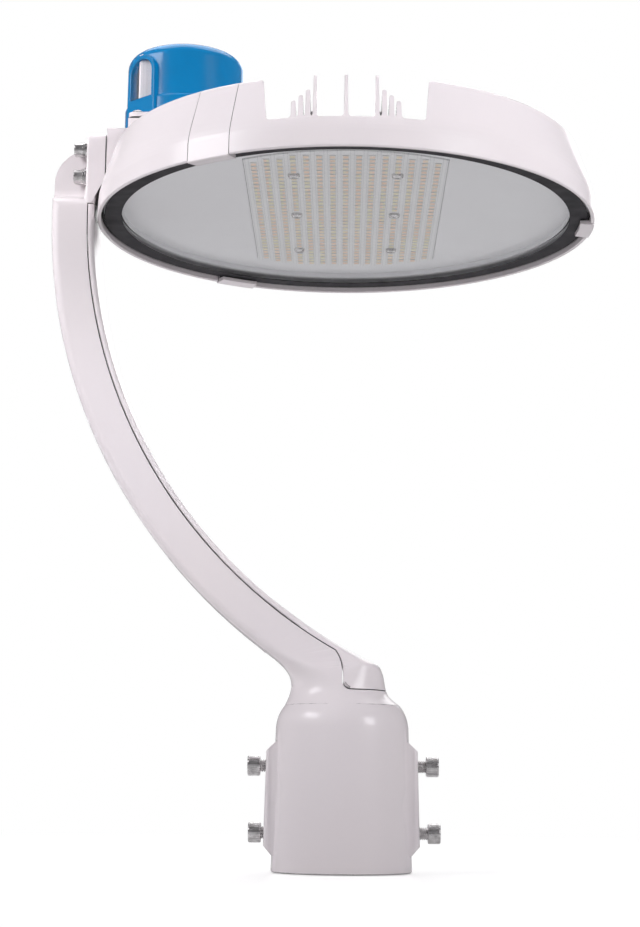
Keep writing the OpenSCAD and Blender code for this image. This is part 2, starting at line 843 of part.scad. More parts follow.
// Space inside the sloping wall that the fins are trimmed to
module fin_space() {
    rotate_extrude($fn = fine)
        polygon([
            [0, deck_z - 2], [wall_out(deck_z) - 1.2, deck_z - 2],
            [wall_out(deck_z) - 0.8, deck_z], [wall_out(rim_z) - 0.6, rim_z], [wall_out(rim_z) - 4, rim_z + 1],
            [0, rim_z + 1]
        ]);
}

module heat_sink() {
    intersection() {
        fin_space();
        union() {
            for (i = [-1:1]) fin(i * fin_pitch, fin_t, fin_top_t, fin_top);
            for (side = [-1, 1], i = [0:2])
                fin(side * (rib_start + i * rib_pitch), rib_t, rib_t - 0.4, rib_top - i * rib_fall);
            for (side = [-1, 1], y = [-1, 1])
                translate([0, y * web_y, 0])
                    rotate([90, 0, 0])
                        translate([0, 0, -web_t / 2])
                            linear_extrude(web_t)
                                polygon([
                                    [side * fin_pitch, deck_z - 1], [side * fin_pitch, rib_top + 1],
                                    [side * rib_start, rib_top - 0.8],
                                    [side * (rib_start + 2 * rib_pitch), rib_top - 2 * rib_fall - 0.8],
                                    [side * (rib_start + 2 * rib_pitch), deck_z - 1]
                                ]);
            for (side = [-1, 1], i = [3:7])
                fin(side * i * fin_pitch, fin_t, fin_top_t, fin_top - 1.5);
        }
    }
}

// Shell of the head: lip, band, sloping wall and deck
module head_shell() {
    rotate_extrude($fn = fine)
        polygon([
            [0, deck_low], [border_r + 1, deck_low], [border_r + 1, seal_top],
            [lip_in, seal_top], [lip_in, lip_z + 0.5], [lip_in + 0.5, lip_z],
            [head_r - 0.6, lip_z], [head_r, lip_z + 0.6], each wall_curve,
            [rim_r + 0.3, rim_z - 0.9], [rim_r - 0.6, rim_z], [rim_r - wall_flat + 0.6, rim_z],
            [rim_r - wall_flat, rim_z - 0.6], [wall_in(deck_z + 3), deck_z + 3],
            [wall_in(deck_z) - 3, deck_z], [0, deck_z]
        ]);
}

// Drain notch through the wall, on the -Y side
module drain_notch() {
    translate([0, -head_r + 20, 0])
        across(60)
            polygon(concat(
                [[-notch_half - 4, rim_z + 1]],
                arc_points(-notch_half - 3, rim_z - 3, 3, 90, 0, 5),
                arc_points(-notch_half + 4, deck_z + 2, 2, 180, 270, 4),
                arc_points(notch_half - 4, deck_z + 2, 2, 270, 360, 4),
                arc_points(notch_half + 3, rim_z - 3, 3, 180, 90, 5),
                [[notch_half + 4, rim_z + 1]]
            ));
}

// Profile of the space that a clip takes in the wall
module clip_slot_profile() {
    polygon([
        [clip_in - clip_gap, lip_z - 1], [head_r + 5, lip_z - 1], [head_r + 5, rim_z + 1],
        [wall_in(rim_z + 1) - clip_gap, rim_z + 1], [wall_in(deck_z + 1.5) - clip_gap, deck_z + 1.5],
        [clip_in - clip_gap, deck_z - 1]
    ]);
}

// Boss behind a clip, on the wall's inner side
module clip_backing() {
    sector(0, clip_angle + 4)
        polygon([
            [wall_in(deck_z - 1) - clip_back, deck_z - 1], [wall_in(deck_z - 1) + 1, deck_z - 1],
            [wall_in(rim_z - 1) + 1, rim_z - 1], [wall_in(rim_z - 1) - clip_back, rim_z - 1]
        ]);
}

// Space for a screwdriver behind a clip, kept clear of fins
module screw_space() {
    sector(0, clip_angle + 4)
        polygon([
            [wall_in(deck_z) - 30, deck_z + 5], [wall_in(deck_z + 5), deck_z + 5],
            [wall_in(rim_z), rim_z + 1], [wall_in(deck_z) - 30, rim_z + 1]
        ]);
}

// Places children at the two screws of a clip, heads towards the axis
module at_clip_screws() {
    for (side = [-1, 1], z = [deck_z + 12])
        rotate([0, 0, side * clip_angle / 4])
            translate([wall_in(z) - clip_back, 0, z])
                rotate([0, -90 - wall_angle, 0]) children();
}

module driver_box_walls() {
    difference() {
        translate([-box_back, -box_w / 2, deck_z - 1]) cube([box_l, box_w, box_h + 1]);
        translate([box_wall - box_back, box_wall - box_w / 2, deck_z])
            cube([box_l - 2 * box_wall, box_w - 2 * box_wall, box_h + 1]);
    }
    intersection() {
        at_lid_corners() translate([0, 0, deck_z - 1]) cylinder(r = 5.5, h = box_h + 1, $fn = 32);
        translate([-box_back, -box_w / 2, deck_z - 1]) cube([box_l, box_w, box_h + 1]);
    }
}

module at_lid_corners() {
    for (x = [box_x + lid_screw_inset, box_back - lid_screw_inset], y = [-1, 1])
        translate([-x, y * (box_w / 2 - lid_screw_inset), 0]) children();
}

module head_housing() {
    color(white)
        difference() {
            union() {
                difference() {
                    head_shell();
                    drain_notch();
                    mirror([0, 1, 0]) drain_notch();
                }
                difference() {
                    heat_sink();
                    translate([-box_back - 1, -box_w / 2 - 9, deck_z])
                        cube([box_l + 4, box_w + 18, 60]);
                    for (turn = clip_turns)
                        rotate([0, 0, turn]) screw_space();
                }
                for (turn = clip_turns)
                    rotate([0, 0, turn]) clip_backing();
                driver_box_walls();
                translate([-pad_x, -arm_w / 2 - 1.5, deck_z - 1]) {
                    cube([pad_x - box_back - face_gap, arm_w + 3, pad_top - deck_z + 1]);
                    cube([pad_x - box_back + 1, arm_w + 3, box_top - deck_z + 1]);
                }
            }
            for (turn = clip_turns)
                rotate([0, 0, turn])
                    sector(0, clip_angle + 2 * clip_gap / head_r * 180 / PI) clip_slot_profile();
            // Flat and slant that the flange sits against
            across(arm_w + 1.6)
                polygon([
                    [-pad_x, pad_top + 10], [-pad_x, flange_bend_z], [-arm_face + 1.1, flange_low_z - 0.2],
                    [-head_r - 20, flange_low_z - 0.2], [-head_r - 20, pad_top + 10]
                ]);
            at_flange_screws(box_back + 3) cylinder(r = 3 + running_gap, h = arm_reach - box_back);
            translate([-pad_x - 1, 0, passage_z])
                rotate([0, 90, 0]) cylinder(r = passage_r, h = pad_x - box_back + box_wall + 2);
            for (turn = clip_turns)
                rotate([0, 0, turn])
                    at_clip_screws() {
                        translate([0, 0, -8]) cylinder(d = 4.4, h = 16, $fn = 32);
                        cylinder(d = 9, h = 8, $fn = 32);
                    }
            at_lid_corners() translate([0, 0, box_top - 14]) cylinder(d = 4.1, h = 20, $fn = 32);
            at_board_screws() translate([0, 0, -5]) cylinder(d = 4.1, h = 10, $fn = 32);
            translate([-box_x - box_l / 2, box_w / 2 - box_wall - 1, deck_z + 20])
                rotate([-90, 0, 0]) cylinder(d = 12, h = box_wall + 2);
        }
}

module glass() {
    color([0.8, 0.85, 0.88, 0.4])
        translate([0, 0, lens_z])
            rotate_extrude($fn = fine)
                polygon([
                    [0, 0], [glass_r - 0.6, 0], [glass_r, 0.6], [glass_r, glass_t - 0.6],
                    [glass_r - 0.6, glass_t], [0, glass_t]
                ]);
}

module glass_border() {
    color([0.25, 0.25, 0.28])
        translate([0, 0, glass_top])
            difference() {
                cylinder(r = glass_r - 0.7, h = border_t, $fn = fine);
                translate([0, 0, -1]) cylinder(r = border_r, h = 3, $fn = fine);
            }
}

module glass_gasket() {
    color([0.2, 0.2, 0.2])
        translate([0, 0, glass_top + border_t])
            difference() {
                cylinder(r = glass_r - 1, h = seal_top - glass_top - border_t, $fn = fine);
                translate([0, 0, -1]) cylinder(r = seal_r, h = 5, $fn = fine);
            }
}

module lens_clip(turn) {
    color(white)
        rotate([0, 0, turn])
            difference() {
                sector(0, clip_angle)
                    polygon([
                        [glass_r - clip_lap, lens_z - clip_drop + 0.8], [head_r - 0.6, lens_z - clip_drop],
                        [head_r, lens_z - clip_drop + 0.5],
                        each wall_curve, [rim_r + 0.3, rim_z - 0.9], [rim_r - 0.6, rim_z],
                        [wall_in(rim_z), rim_z], [wall_in(deck_z + 1.2), deck_z + 1.2],
                        [clip_in, deck_z - 0.6], [clip_in, lens_z - clip_pad_t], [glass_r - clip_lap, lens_z - clip_pad_t]
                    ]);
                at_clip_screws() translate([0, 0, -clip_back - 3]) cylinder(d = 4.1, h = 6, $fn = 32);
            }
}

module lens_clip_1() {
    lens_clip(clip_turns[0]);
}

module lens_clip_2() {
    lens_clip(clip_turns[1]);
}

module lens_clip_3() {
    lens_clip(clip_turns[2]);
}

module clip_pads() {
    color([0.15, 0.15, 0.15])
        for (turn = clip_turns)
            sector(turn, clip_angle - 1)
                translate([glass_r - clip_lap + 0.2, lens_z - clip_pad_t])
                    square([clip_lap + 0.4, clip_pad_t]);
}

module clip_screws() {
    color(steel)
        for (turn = clip_turns)
            rotate([0, 0, turn])
                at_clip_screws() pan_screw(4, clip_back + 2);
}

module board_outline(r, w) {
    intersection() {
        circle(r = r, $fn = fine);
        square([w, 2 * r + 2], center = true);
    }
}

module at_board_screws() {
    for (x = [-4, 4], y = [-1:1])
        translate([x * led_pitch_x, y * board_screw_pitch, deck_low]) children();
}

module led_board() {
    color("Gainsboro")
        difference() {
            translate([0, 0, deck_low - board_t])
                linear_extrude(board_t) board_outline(board_r, board_w);
            at_board_screws() translate([0, 0, -5]) cylinder(d = 4.5, h = 8, $fn = 32);
        }
}

module leds() {
    z = deck_low - board_t - led_t;
    half = (led_columns - 1) / 2;
    color("Khaki")
        for (i = [-half:half]) {
            x = i * led_pitch_x;
            run = floor(sqrt(pow(board_r - 4, 2) - pow(x, 2)) / led_pitch_y - 0.5);
            for (j = [-run - 1:run]) {
                y = (j + 0.5) * led_pitch_y;
                near = min([for (s = [-1:1]) norm([abs(x) - 4 * led_pitch_x, y - s * board_screw_pitch])]);
                if (near > 6)
                    translate([x - led_w / 2, y - led_w / 2, z]) cube([led_w, led_w, led_t]);
            }
        }
}

module board_screws() {
    color(steel)
        at_board_screws()
            translate([0, 0, -board_t])
                mirror([0, 0, 1]) pan_screw(4, board_t + 4.6);
}

module reflector_plate() {
    color("LightGray")
        translate([0, 0, deck_low - reflector_t])
            linear_extrude(reflector_t)
                difference() {
                    circle(r = border_r + 0.7, $fn = fine);
                    board_outline(board_r + 0.4, board_w + 0.8);
                }
}

module led_driver() {
    l = box_l - 2 * box_wall - 16;
    color("Gray")
        translate([-box_back + box_wall + 8, driver_y, deck_z]) {
            cube([l, driver_w, driver_h]);
            translate([l / 2 - 12, driver_w - eps, 4]) cube([24, socket_t, 6]);
        }
}

module terminal_block() {
    color("White")
        translate([-block_x, block_y, deck_z])
            difference() {
                cube([block_l, block_w, block_h]);
                for (i = [1:3]) {
                    translate([block_l / 2, 4.5 + i * 9, block_h - 12]) cylinder(d = 6, h = 13, $fn = 24);
                    translate([-1, 4.5 + i * 9, block_h - 6])
                        rotate([0, 90, 0]) cylinder(d = 4, h = block_l + 2, $fn = 24);
                }
            }
}

module surge_protector() {
    color("DarkRed")
        translate([-block_x + block_l + box_gap, box_w / 2 - box_wall - box_gap - surge_w, deck_z])
            linear_extrude(14)
                translate([surge_l, surge_w] / 2) round_rect(surge_l, surge_w, 2);
}

module driver_lid() {
    color(white)
        difference() {
            translate([-box_x - box_l / 2, 0, lid_z])
                linear_extrude(lid_t) round_rect(box_l, box_w, 4);
            translate([-photocell_x, 0, lid_z - 1]) cylinder(r = socket_r + running_gap, h = lid_t + 2);
            at_lid_corners() translate([0, 0, lid_z - 1]) cylinder(d = 4.4, h = lid_t + 2, $fn = 32);
        }
}

module lid_gasket() {
    color([0.15, 0.15, 0.15])
        difference() {
            translate([-box_x - box_l / 2, 0, box_top])
                linear_extrude(lid_gasket_t)
                    difference() {
                        round_rect(box_l - 1, box_w - 1, 4);
                        round_rect(box_l - 2 * box_wall + 0.6, box_w - 2 * box_wall + 0.6, 2);
                    }
            at_lid_corners() translate([0, 0, box_top - 1]) cylinder(d = 4.4, h = lid_gasket_t + 2, $fn = 32);
        }
}

module lid_screws() {
    color(steel)
        at_lid_corners() translate([0, 0, lid_top]) pan_screw(4, lid_t + lid_gasket_t + 9);
}

module vent_plug() {
    color([0.2, 0.2, 0.2])
        translate([-box_x - box_l / 2, box_w / 2, deck_z + 20])
            rotate([-90, 0, 0])
                union() {
                    translate([0, 0, -box_wall - 1]) cylinder(d = 11.9, h = box_wall + 1 + eps);
                    cylinder(d = 17, h = 3, $fn = 6);
                    cylinder(d = 14, h = 6);
                }
}

// Arc of a blade or its slot, grown by g all round, open for extra degrees
module blade_arc(g, extra) {
    turn = g / blade_r * 180 / PI;
    rotate_extrude(angle = blade_angle + 2 * turn + extra, start = -blade_angle / 2 - turn, $fn = fine)
        translate([blade_r - g, 0]) square([blade_t + 2 * g, blade_l + 1]);
}

module receptacle() {
    color([0.1, 0.1, 0.1])
        translate([-photocell_x, 0, 0])
            difference() {
                union() {
                    translate([0, 0, receptacle_z]) cylinder(r = socket_r + 7, h = 2);
                    translate([0, 0, lid_z - 18]) cylinder(r = socket_r, h = receptacle_z - lid_z + 18 + eps);
                }
                for (i = [0:2])
                    rotate([0, 0, 120 * i])
                        translate([0, 0, receptacle_top - blade_l - 0.6]) blade_arc(0.5, lock_turn);
                contact_spaces(0);
            }
}

// Space of the three spring contacts, outside the blades' resting place
module contact_spaces(g) {
    for (i = [0:2])
        rotate([0, 0, 120 * i])
            translate([0, 0, lid_z - 18 - 1])
                rotate_extrude(angle = 20, start = -10, $fn = fine)
                    translate([blade_r + blade_t + 0.5 - g, 0]) square([1.2, 17]);
}

module receptacle_contacts() {
    color("Gold")
        translate([-photocell_x, 0, 0]) contact_spaces(0);
}

module receptacle_ring() {
    color([0.2, 0.2, 0.2])
        translate([-photocell_x, 0, lid_z - face_gap - 5])
            difference() {
                cylinder(r = socket_r + 1.4, h = 5);
                translate([0, 0, -1]) cylinder(r = socket_r, h = 7);
            }
}

module receptacle_gasket() {
    color([0.3, 0.3, 0.3])
        translate([-photocell_x, 0, lid_top])
            difference() {
                cylinder(r = 34, h = 1);
                translate([0, 0, -1]) cylinder(r = socket_r + 0.5, h = 3);
            }
}

module photocell_base() {
    color([0.15, 0.15, 0.17])
        translate([-photocell_x, 0, photocell_z])
            cylinder(r = skirt_r - dome_wall, h = 4);
}

module photocell_blades() {
    color("Gold")
        translate([-photocell_x, 0, photocell_z - blade_l])
            for (i = [0:2])
                rotate([0, 0, 120 * i])
                    rotate_extrude(angle = blade_angle, start = -blade_angle / 2, $fn = fine)
                        translate([blade_r, 0]) square([blade_t, blade_l]);
}

// Arched outline of the photocell's window, w wide, up to the arch's centre line
module arch(w, low) {
    union() {
        translate([-w / 2, low]) square([w, frame_arch_z - low]);
        translate([0, frame_arch_z]) circle(d = w);
    }
}

module photocell_cover() {
    color([0.06, 0.49, 0.75])
        translate([-photocell_x, 0, 0])
            difference() {
                union() {
                    rotate_extrude()
                        polygon(concat(
                            [[0, photocell_z], [skirt_r, photocell_z], [skirt_r, frame_low - 1.2],
                             [skirt_r - 0.6, frame_low], [dome_r + 0.2, frame_low + 0.2]],
                            arc_points(dome_r - dome_round, dome_z - dome_round, dome_round, 0, 85, 8),
                            [[0, dome_z]]
                        ));
                    intersection() {
                        rotate([0, 0, window_turn])
                            along(0, frame_face) arch(frame_w, photocell_z + 1.5);
                        cylinder(r = skirt_r + 3, h = dome_z);
                    }
                }
                rotate_extrude()
                    polygon(concat(
                        [[0, photocell_z - 1], [skirt_r - dome_wall, photocell_z - 1],
                         [skirt_r - dome_wall, photocell_z + 4.2], [dome_r - dome_wall, photocell_z + 6]],
                        arc_points(dome_r - dome_round, dome_z - dome_round, dome_round - dome_wall, 0, 85, 8),
                        [[0, dome_z - dome_wall]]
                    ));
                rotate([0, 0, window_turn])
                    along(20, skirt_r + 10) arch(frame_w - 2 * frame_border, frame_low);
            }
}

module photocell_window() {
    color([0.95, 0.88, 0.86, 0.7])
        translate([-photocell_x, 0, 0])
            rotate([0, 0, window_turn])
                along(frame_face - 4, frame_face - 2.5)
                    arch(frame_w - 2 * frame_border, frame_low);
}

module photocell_board() {
    color("DarkGreen")
        translate([-photocell_x, 0, photocell_z + 4]) {
            translate([0, 0, 6]) cylinder(r = dome_r - 6.6, h = 1.6);
            for (turn = [60, 180, 300])
                rotate([0, 0, turn]) translate([24, 0, 0]) cylinder(r = 3, h = 6 + eps, $fn = 32);
            translate([-2, -8, 7.6 - eps]) cube([20, 16, 14]);
        }
}

module photocell_sensor() {
    color([0.1, 0.1, 0.12])
        translate([-photocell_x, 0, photocell_z + 11.6])
            rotate([0, 0, window_turn])
                union() {
                    translate([25, 7.5, 0]) cube([5, 4.5, 12]);
                    translate([30 - eps, 9.7, 8]) rotate([0, 90, 0]) cylinder(r = 2, h = 2.5, $fn = 32);
                }
}

// Pale relay behind the window
module photocell_relay() {
    color("Linen")
        translate([-photocell_x, 0, photocell_z + 11.6])
            rotate([0, 0, window_turn])
                translate([21, -12, 0]) cube([12, 18, dome_h - 17]);
}

arm_casting();
arm_cover();
clamp_screw_1();
clamp_screw_2();
clamp_screw_3();
clamp_screw_4();
flange_screws();
flange_spring_washers();
flange_flat_washers();
flange_gasket();
cable_grommet();
supply_cable();
supply_connector();
head_housing();
glass();
glass_border();
glass_gasket();
lens_clip_1();
lens_clip_2();
lens_clip_3();
clip_pads();
clip_screws();
led_board();
leds();
board_screws();
reflector_plate();
led_driver();
terminal_block();
surge_protector();
driver_lid();
lid_gasket();
lid_screws();
vent_plug();
receptacle();
receptacle_contacts();
receptacle_ring();
receptacle_gasket();
photocell_base();
photocell_blades();
photocell_cover();
photocell_window();
photocell_board();
photocell_sensor();
photocell_relay();
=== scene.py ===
import bpy
import bmesh
import json
import math
from mathutils import Matrix, Vector


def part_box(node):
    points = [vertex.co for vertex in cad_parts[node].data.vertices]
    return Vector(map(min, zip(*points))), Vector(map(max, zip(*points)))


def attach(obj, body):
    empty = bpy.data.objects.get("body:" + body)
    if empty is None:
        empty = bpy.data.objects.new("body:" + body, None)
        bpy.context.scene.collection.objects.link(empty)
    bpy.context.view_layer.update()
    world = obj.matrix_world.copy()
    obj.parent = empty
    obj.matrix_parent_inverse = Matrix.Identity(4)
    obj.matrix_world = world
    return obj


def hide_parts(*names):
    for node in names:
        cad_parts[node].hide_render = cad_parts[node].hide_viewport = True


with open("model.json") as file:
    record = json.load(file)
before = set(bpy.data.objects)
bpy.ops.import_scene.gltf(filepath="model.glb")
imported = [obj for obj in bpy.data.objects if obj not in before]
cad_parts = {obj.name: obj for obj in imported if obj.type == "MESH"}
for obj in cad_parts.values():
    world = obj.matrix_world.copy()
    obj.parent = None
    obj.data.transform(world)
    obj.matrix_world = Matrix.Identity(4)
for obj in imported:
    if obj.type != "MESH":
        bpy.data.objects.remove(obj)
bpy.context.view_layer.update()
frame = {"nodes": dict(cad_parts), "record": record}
nodesByName = frame["nodes"]
print("frame:", len(nodesByName), "nodes")


# Camera, at the photograph's angle
cameraSet = {
    "place": (0.0001, -1.22036, 0.05049),
    "pitch": 9.902,
    "yaw": -0.743,
    "roll": 0.5,
    "focalPixels": 1878.93,
    "imageHeight": 927,
    "sensor": 24.0,
    "clip": (0.02, 30),
}


def makeCamera(spec):
    cam = bpy.data.cameras.new("photoCamera")
    cam.sensor_fit = "VERTICAL"
    cam.sensor_height = spec["sensor"]
    cam.lens = spec["focalPixels"] / spec["imageHeight"] * spec["sensor"]
    cam.clip_start, cam.clip_end = spec["clip"]
    obj = bpy.data.objects.new("photoCamera", cam)
    bpy.context.scene.collection.objects.link(obj)
    pitch, yaw, roll = (math.radians(spec[k]) for k in ("pitch", "yaw", "roll"))
    ahead = Vector((math.sin(yaw) * math.cos(pitch), math.cos(yaw) * math.cos(pitch), math.sin(pitch)))
    side = Vector((math.cos(yaw), -math.sin(yaw), 0))
    upward = side.cross(ahead)
    right = side * math.cos(roll) + upward * math.sin(roll)
    above = upward * math.cos(roll) - side * math.sin(roll)
    turn = Matrix((right, above, -ahead)).transposed().to_4x4()
    obj.matrix_world = Matrix.Translation(spec["place"]) @ turn
    bpy.context.scene.camera = obj


makeCamera(cameraSet)
print("camera placed")


# Node helpers
def addNode(tree, kind, values=None, **settings):
    node = tree.nodes.new(kind)
    for key, value in settings.items():
        setattr(node, key, value)
    for key, value in (values or {}).items():
        node.inputs[key].default_value = value
    return node


def startMaterial(name, base, rough, **sockets):
    mat = bpy.data.materials.new(name)
    mat.use_nodes = True
    tree = mat.node_tree
    shader = tree.nodes["Principled BSDF"]
    shader.inputs["Base Color"].default_value = (*base, 1)
    shader.inputs["Roughness"].default_value = rough
    for key, value in sockets.items():
        shader.inputs[key.replace("_", " ")].default_value = value
    return mat, tree, shader


# Links another node's output, or writes a plain number or colour on the socket
def feed(tree, value, socket):
    if hasattr(value, "links"):
        tree.links.new(value, socket)
    else:
        socket.default_value = (*value, 1) if isinstance(value, tuple) else value


def objectPoint(tree):
    return addNode(tree, "ShaderNodeTexCoord").outputs["Object"]


def stretched(tree, scale):
    mapping = addNode(tree, "ShaderNodeMapping", {"Scale": scale})
    tree.links.new(objectPoint(tree), mapping.inputs["Vector"])
    return mapping.outputs["Vector"]


def noiseOf(tree, size, detail, point=None):
    noise = addNode(tree, "ShaderNodeTexNoise", {"Scale": 1 / size, "Detail": detail})
    tree.links.new(point or objectPoint(tree), noise.inputs["Vector"])
    return noise.outputs["Fac"]


def ranged(tree, value, low, high, outLow, outHigh):
    node = addNode(tree, "ShaderNodeMapRange",
                   {"From Min": low, "From Max": high, "To Min": outLow, "To Max": outHigh})
    tree.links.new(value, node.inputs["Value"])
    return node.outputs["Result"]


# Noise, with its middle part spread over the given range
def clouded(tree, size, detail, outLow=0, outHigh=1):
    return ranged(tree, noiseOf(tree, size, detail), 0.3, 0.7, outLow, outHigh)


def mixColour(tree, factor, first, second):
    node = addNode(tree, "ShaderNodeMix", data_type="RGBA")
    tree.links.new(factor, node.inputs[0])
    feed(tree, first, node.inputs[6])
    feed(tree, second, node.inputs[7])
    return node.outputs[2]


def calculate(tree, operation, *values):
    node = addNode(tree, "ShaderNodeMath", operation=operation)
    for value, socket in zip(values, node.inputs):
        feed(tree, value, socket)
    return node.outputs[0]


def bumpFrom(tree, height, depth, normal=None):
    node = addNode(tree, "ShaderNodeBump", {"Strength": 1.0, "Distance": depth})
    tree.links.new(height, node.inputs["Height"])
    if normal is not None:
        tree.links.new(normal, node.inputs["Normal"])
    return node.outputs["Normal"]


def roundedNormal(tree, radius):
    return addNode(tree, "ShaderNodeBevel", {"Radius": radius}, samples=8).outputs["Normal"]


# 1 on sharp edges, where the rounded normal leaves the surface's own
def edgeMask(tree, rounded):
    plain = addNode(tree, "ShaderNodeNewGeometry")
    same = addNode(tree, "ShaderNodeVectorMath", operation="DOT_PRODUCT")
    tree.links.new(rounded, same.inputs[0])
    tree.links.new(plain.outputs["Normal"], same.inputs[1])
    return ranged(tree, same.outputs["Value"], 0.98, 0.7, 0, 1)


# Powder coat: slow changes of tone, fine orange peel, a painted highlight on the edges and painted shade in seams
# and creases
coatSet = {
    "base": (0.85, 0.80, 0.83),
    "warm": (0.86, 0.805, 0.825),
    "warmSize": 0.12,
    # painted highlight: the paler colour laid on the coat's edges
    "edge": (0.88, 0.84, 0.865),
    "edgeShare": 0.35,
    "edgeRadius": 0.0009,
    "rough": (0.235, 0.265),
    "roughSize": 0.05,
    "coat": 0.2,
    "coatRough": 0.1,
    "peel": 0.0026,
    "peelDepth": 0.000012,
    "grain": 0.0006,
    "grainShare": 0.25,
    # painted shade: the near-black colour laid into seams, creases and recesses
    "paintedCreviceShade": (0.012, 0.010, 0.012),
    "creviceReach": 0.003,
    "creviceRange": (0.2, 0.62),
}


def makePowderCoat(name, spec):
    mat, tree, shader = startMaterial(name, spec["base"], spec["rough"][0],
                                      Coat_Weight=spec["coat"], Coat_Roughness=spec["coatRough"])
    rounded = roundedNormal(tree, spec["edgeRadius"])
    body = mixColour(tree, clouded(tree, spec["warmSize"], 1), spec["base"], spec["warm"])
    # painted highlight: the edges are drawn paler than the coat
    edgeHighlightShare = calculate(tree, "MULTIPLY", edgeMask(tree, rounded), spec["edgeShare"])
    edgeHighlighted = mixColour(tree, edgeHighlightShare, body, spec["edge"])
    # painted shade: ambient occlusion darkens the coat in seams, creases and recesses, where shade falls
    near = addNode(tree, "ShaderNodeAmbientOcclusion", {"Distance": spec["creviceReach"]}, samples=8)
    paintedShadeShare = ranged(tree, near.outputs["AO"], *spec["creviceRange"], 1, 0)
    tree.links.new(mixColour(tree, paintedShadeShare, edgeHighlighted, spec["paintedCreviceShade"]), shader.inputs["Base Color"])
    tree.links.new(clouded(tree, spec["roughSize"], 1, *spec["rough"]), shader.inputs["Roughness"])
    fine = calculate(tree, "MULTIPLY", noiseOf(tree, spec["grain"], 1), spec["grainShare"])
    height = calculate(tree, "ADD", noiseOf(tree, spec["peel"], 2), fine)
    tree.links.new(bumpFrom(tree, height, spec["peelDepth"], rounded), shader.inputs["Normal"])
    return mat


# Metals: drawn lines, and between them darker spots that are a painted reflection
steelSet = {
    "base": (0.86, 0.85, 0.85),
    # painted reflection: the darker tone laid in spots along the drawn lines
    "darkReflection": (0.45, 0.44, 0.44),
    "darkRange": (0.12, 0.36),
    "spots": 0.004,
    "rough": (0.2, 0.34),
    "grain": (60, 900, 900),
    "grainDepth": 0.000015,
    "edgeRadius": 0.0003,
}
washerSet = {**steelSet, "base": (0.66, 0.65, 0.65), "grain": (900, 300, 300)}
driverSet = {**steelSet, "base": (0.72, 0.73, 0.74), "darkReflection": (0.5, 0.5, 0.51)}
brassSet = {**steelSet, "base": (0.72, 0.5, 0.2), "darkReflection": (0.5, 0.33, 0.12)}


def makeSteel(name, spec):
    mat, tree, shader = startMaterial(name, spec["base"], spec["rough"][0], Metallic=1.0)
    lines = noiseOf(tree, 1.0, 3, stretched(tree, spec["grain"]))
    # painted reflection: the base colour turns darker in spots along the drawn lines
    tone = calculate(tree, "MULTIPLY", lines, noiseOf(tree, spec["spots"], 3))
    shade = mixColour(tree, ranged(tree, tone, *spec["darkRange"], 0, 1), spec["darkReflection"], spec["base"])
    tree.links.new(shade, shader.inputs["Base Color"])
    tree.links.new(ranged(tree, lines, 0.3, 0.7, *spec["rough"]), shader.inputs["Roughness"])
    rounded = roundedNormal(tree, spec["edgeRadius"])
    tree.links.new(bumpFrom(tree, lines, spec["grainDepth"], rounded), shader.inputs["Normal"])
    return mat


# Rubber, plastic and paint: two close tones, a moulded grain and a painted highlight on the edges
plasticSet = {
    "grain": 0.0012,
    "grainDepth": 0.00003,
    "toneSize": 0.025,
    "roughSize": 0.012,
    "roughSpread": 0.15,
    "edgeRadius": 0.0005,
    # painted highlight on the edges: its share, and how much paler than the body
    "edgeShare": 0.35,
    "edgeGain": 1.35,
    "edgeLift": 0.02,
    "specular": 0.5,
}
plastics = {
    "black_rubber": {"name": "blackRubber", "base": (0.018, 0.018, 0.019), "second": (0.03, 0.03, 0.031),
                     "rough": 0.7, "grain": 0.0008, "grainDepth": 0.00006},
    "grey_rubber": {"name": "greyRubber", "base": (0.03, 0.029, 0.032), "second": (0.04, 0.039, 0.042),
                    "rough": 0.7, "grain": 0.001, "grainDepth": 0.00002, "specular": 0.3},
    "cable_sheath": {"name": "cableSheath", "base": (0.02, 0.02, 0.022), "second": (0.03, 0.03, 0.033),
                     "rough": 0.45, "grain": 0.002, "grainDepth": 0.00004},
    "connector": {"name": "connectorNylon", "base": (0.75, 0.26, 0.04), "second": (0.68, 0.22, 0.03), "rough": 0.4},
    "print": {"name": "borderPrint", "base": (0.036, 0.035, 0.039), "second": (0.04, 0.038, 0.043),
              "rough": 0.6, "grain": 0.0015, "grainDepth": 0.000002, "specular": 0.12},
    "reflector": {"name": "reflectorFilm", "base": (0.85, 0.855, 0.87), "second": (0.83, 0.835, 0.85),
                  "rough": 0.5, "grain": 0.003, "grainDepth": 0.00001},
    "terminal": {"name": "terminalNylon", "base": (0.78, 0.77, 0.72), "second": (0.74, 0.73, 0.68), "rough": 0.5},
    "surge": {"name": "surgeCase", "base": (0.34, 0.03, 0.02), "second": (0.3, 0.025, 0.018), "rough": 0.4},
    "vent": {"name": "ventPlug", "base": (0.022, 0.022, 0.022), "second": (0.03, 0.03, 0.03), "rough": 0.5},
    "receptacle": {"name": "receptacleBody", "base": (0.02, 0.02, 0.022), "second": (0.028, 0.028, 0.03),
                   "rough": 0.42},
    "photocell_blue": {"name": "photocellBlue", "base": (0.0, 0.195, 0.46), "second": (0.0, 0.21, 0.49),
                       "rough": 0.14, "grain": 0.004, "grainDepth": 0.00001, "edgeRadius": 0.0012},
    "base_plastic": {"name": "basePlastic", "base": (0.03, 0.03, 0.034), "second": (0.04, 0.04, 0.044),
                     "rough": 0.45},
    "circuit": {"name": "circuitBoard", "base": (0.012, 0.09, 0.03), "second": (0.015, 0.11, 0.035), "rough": 0.4},
    "relay": {"name": "relayCase", "base": (0.92, 0.88, 0.90), "second": (0.9, 0.86, 0.88), "rough": 0.35},
    "sensor": {"name": "sensorBlock", "base": (0.012, 0.011, 0.012), "second": (0.02, 0.018, 0.02), "rough": 0.25},
}


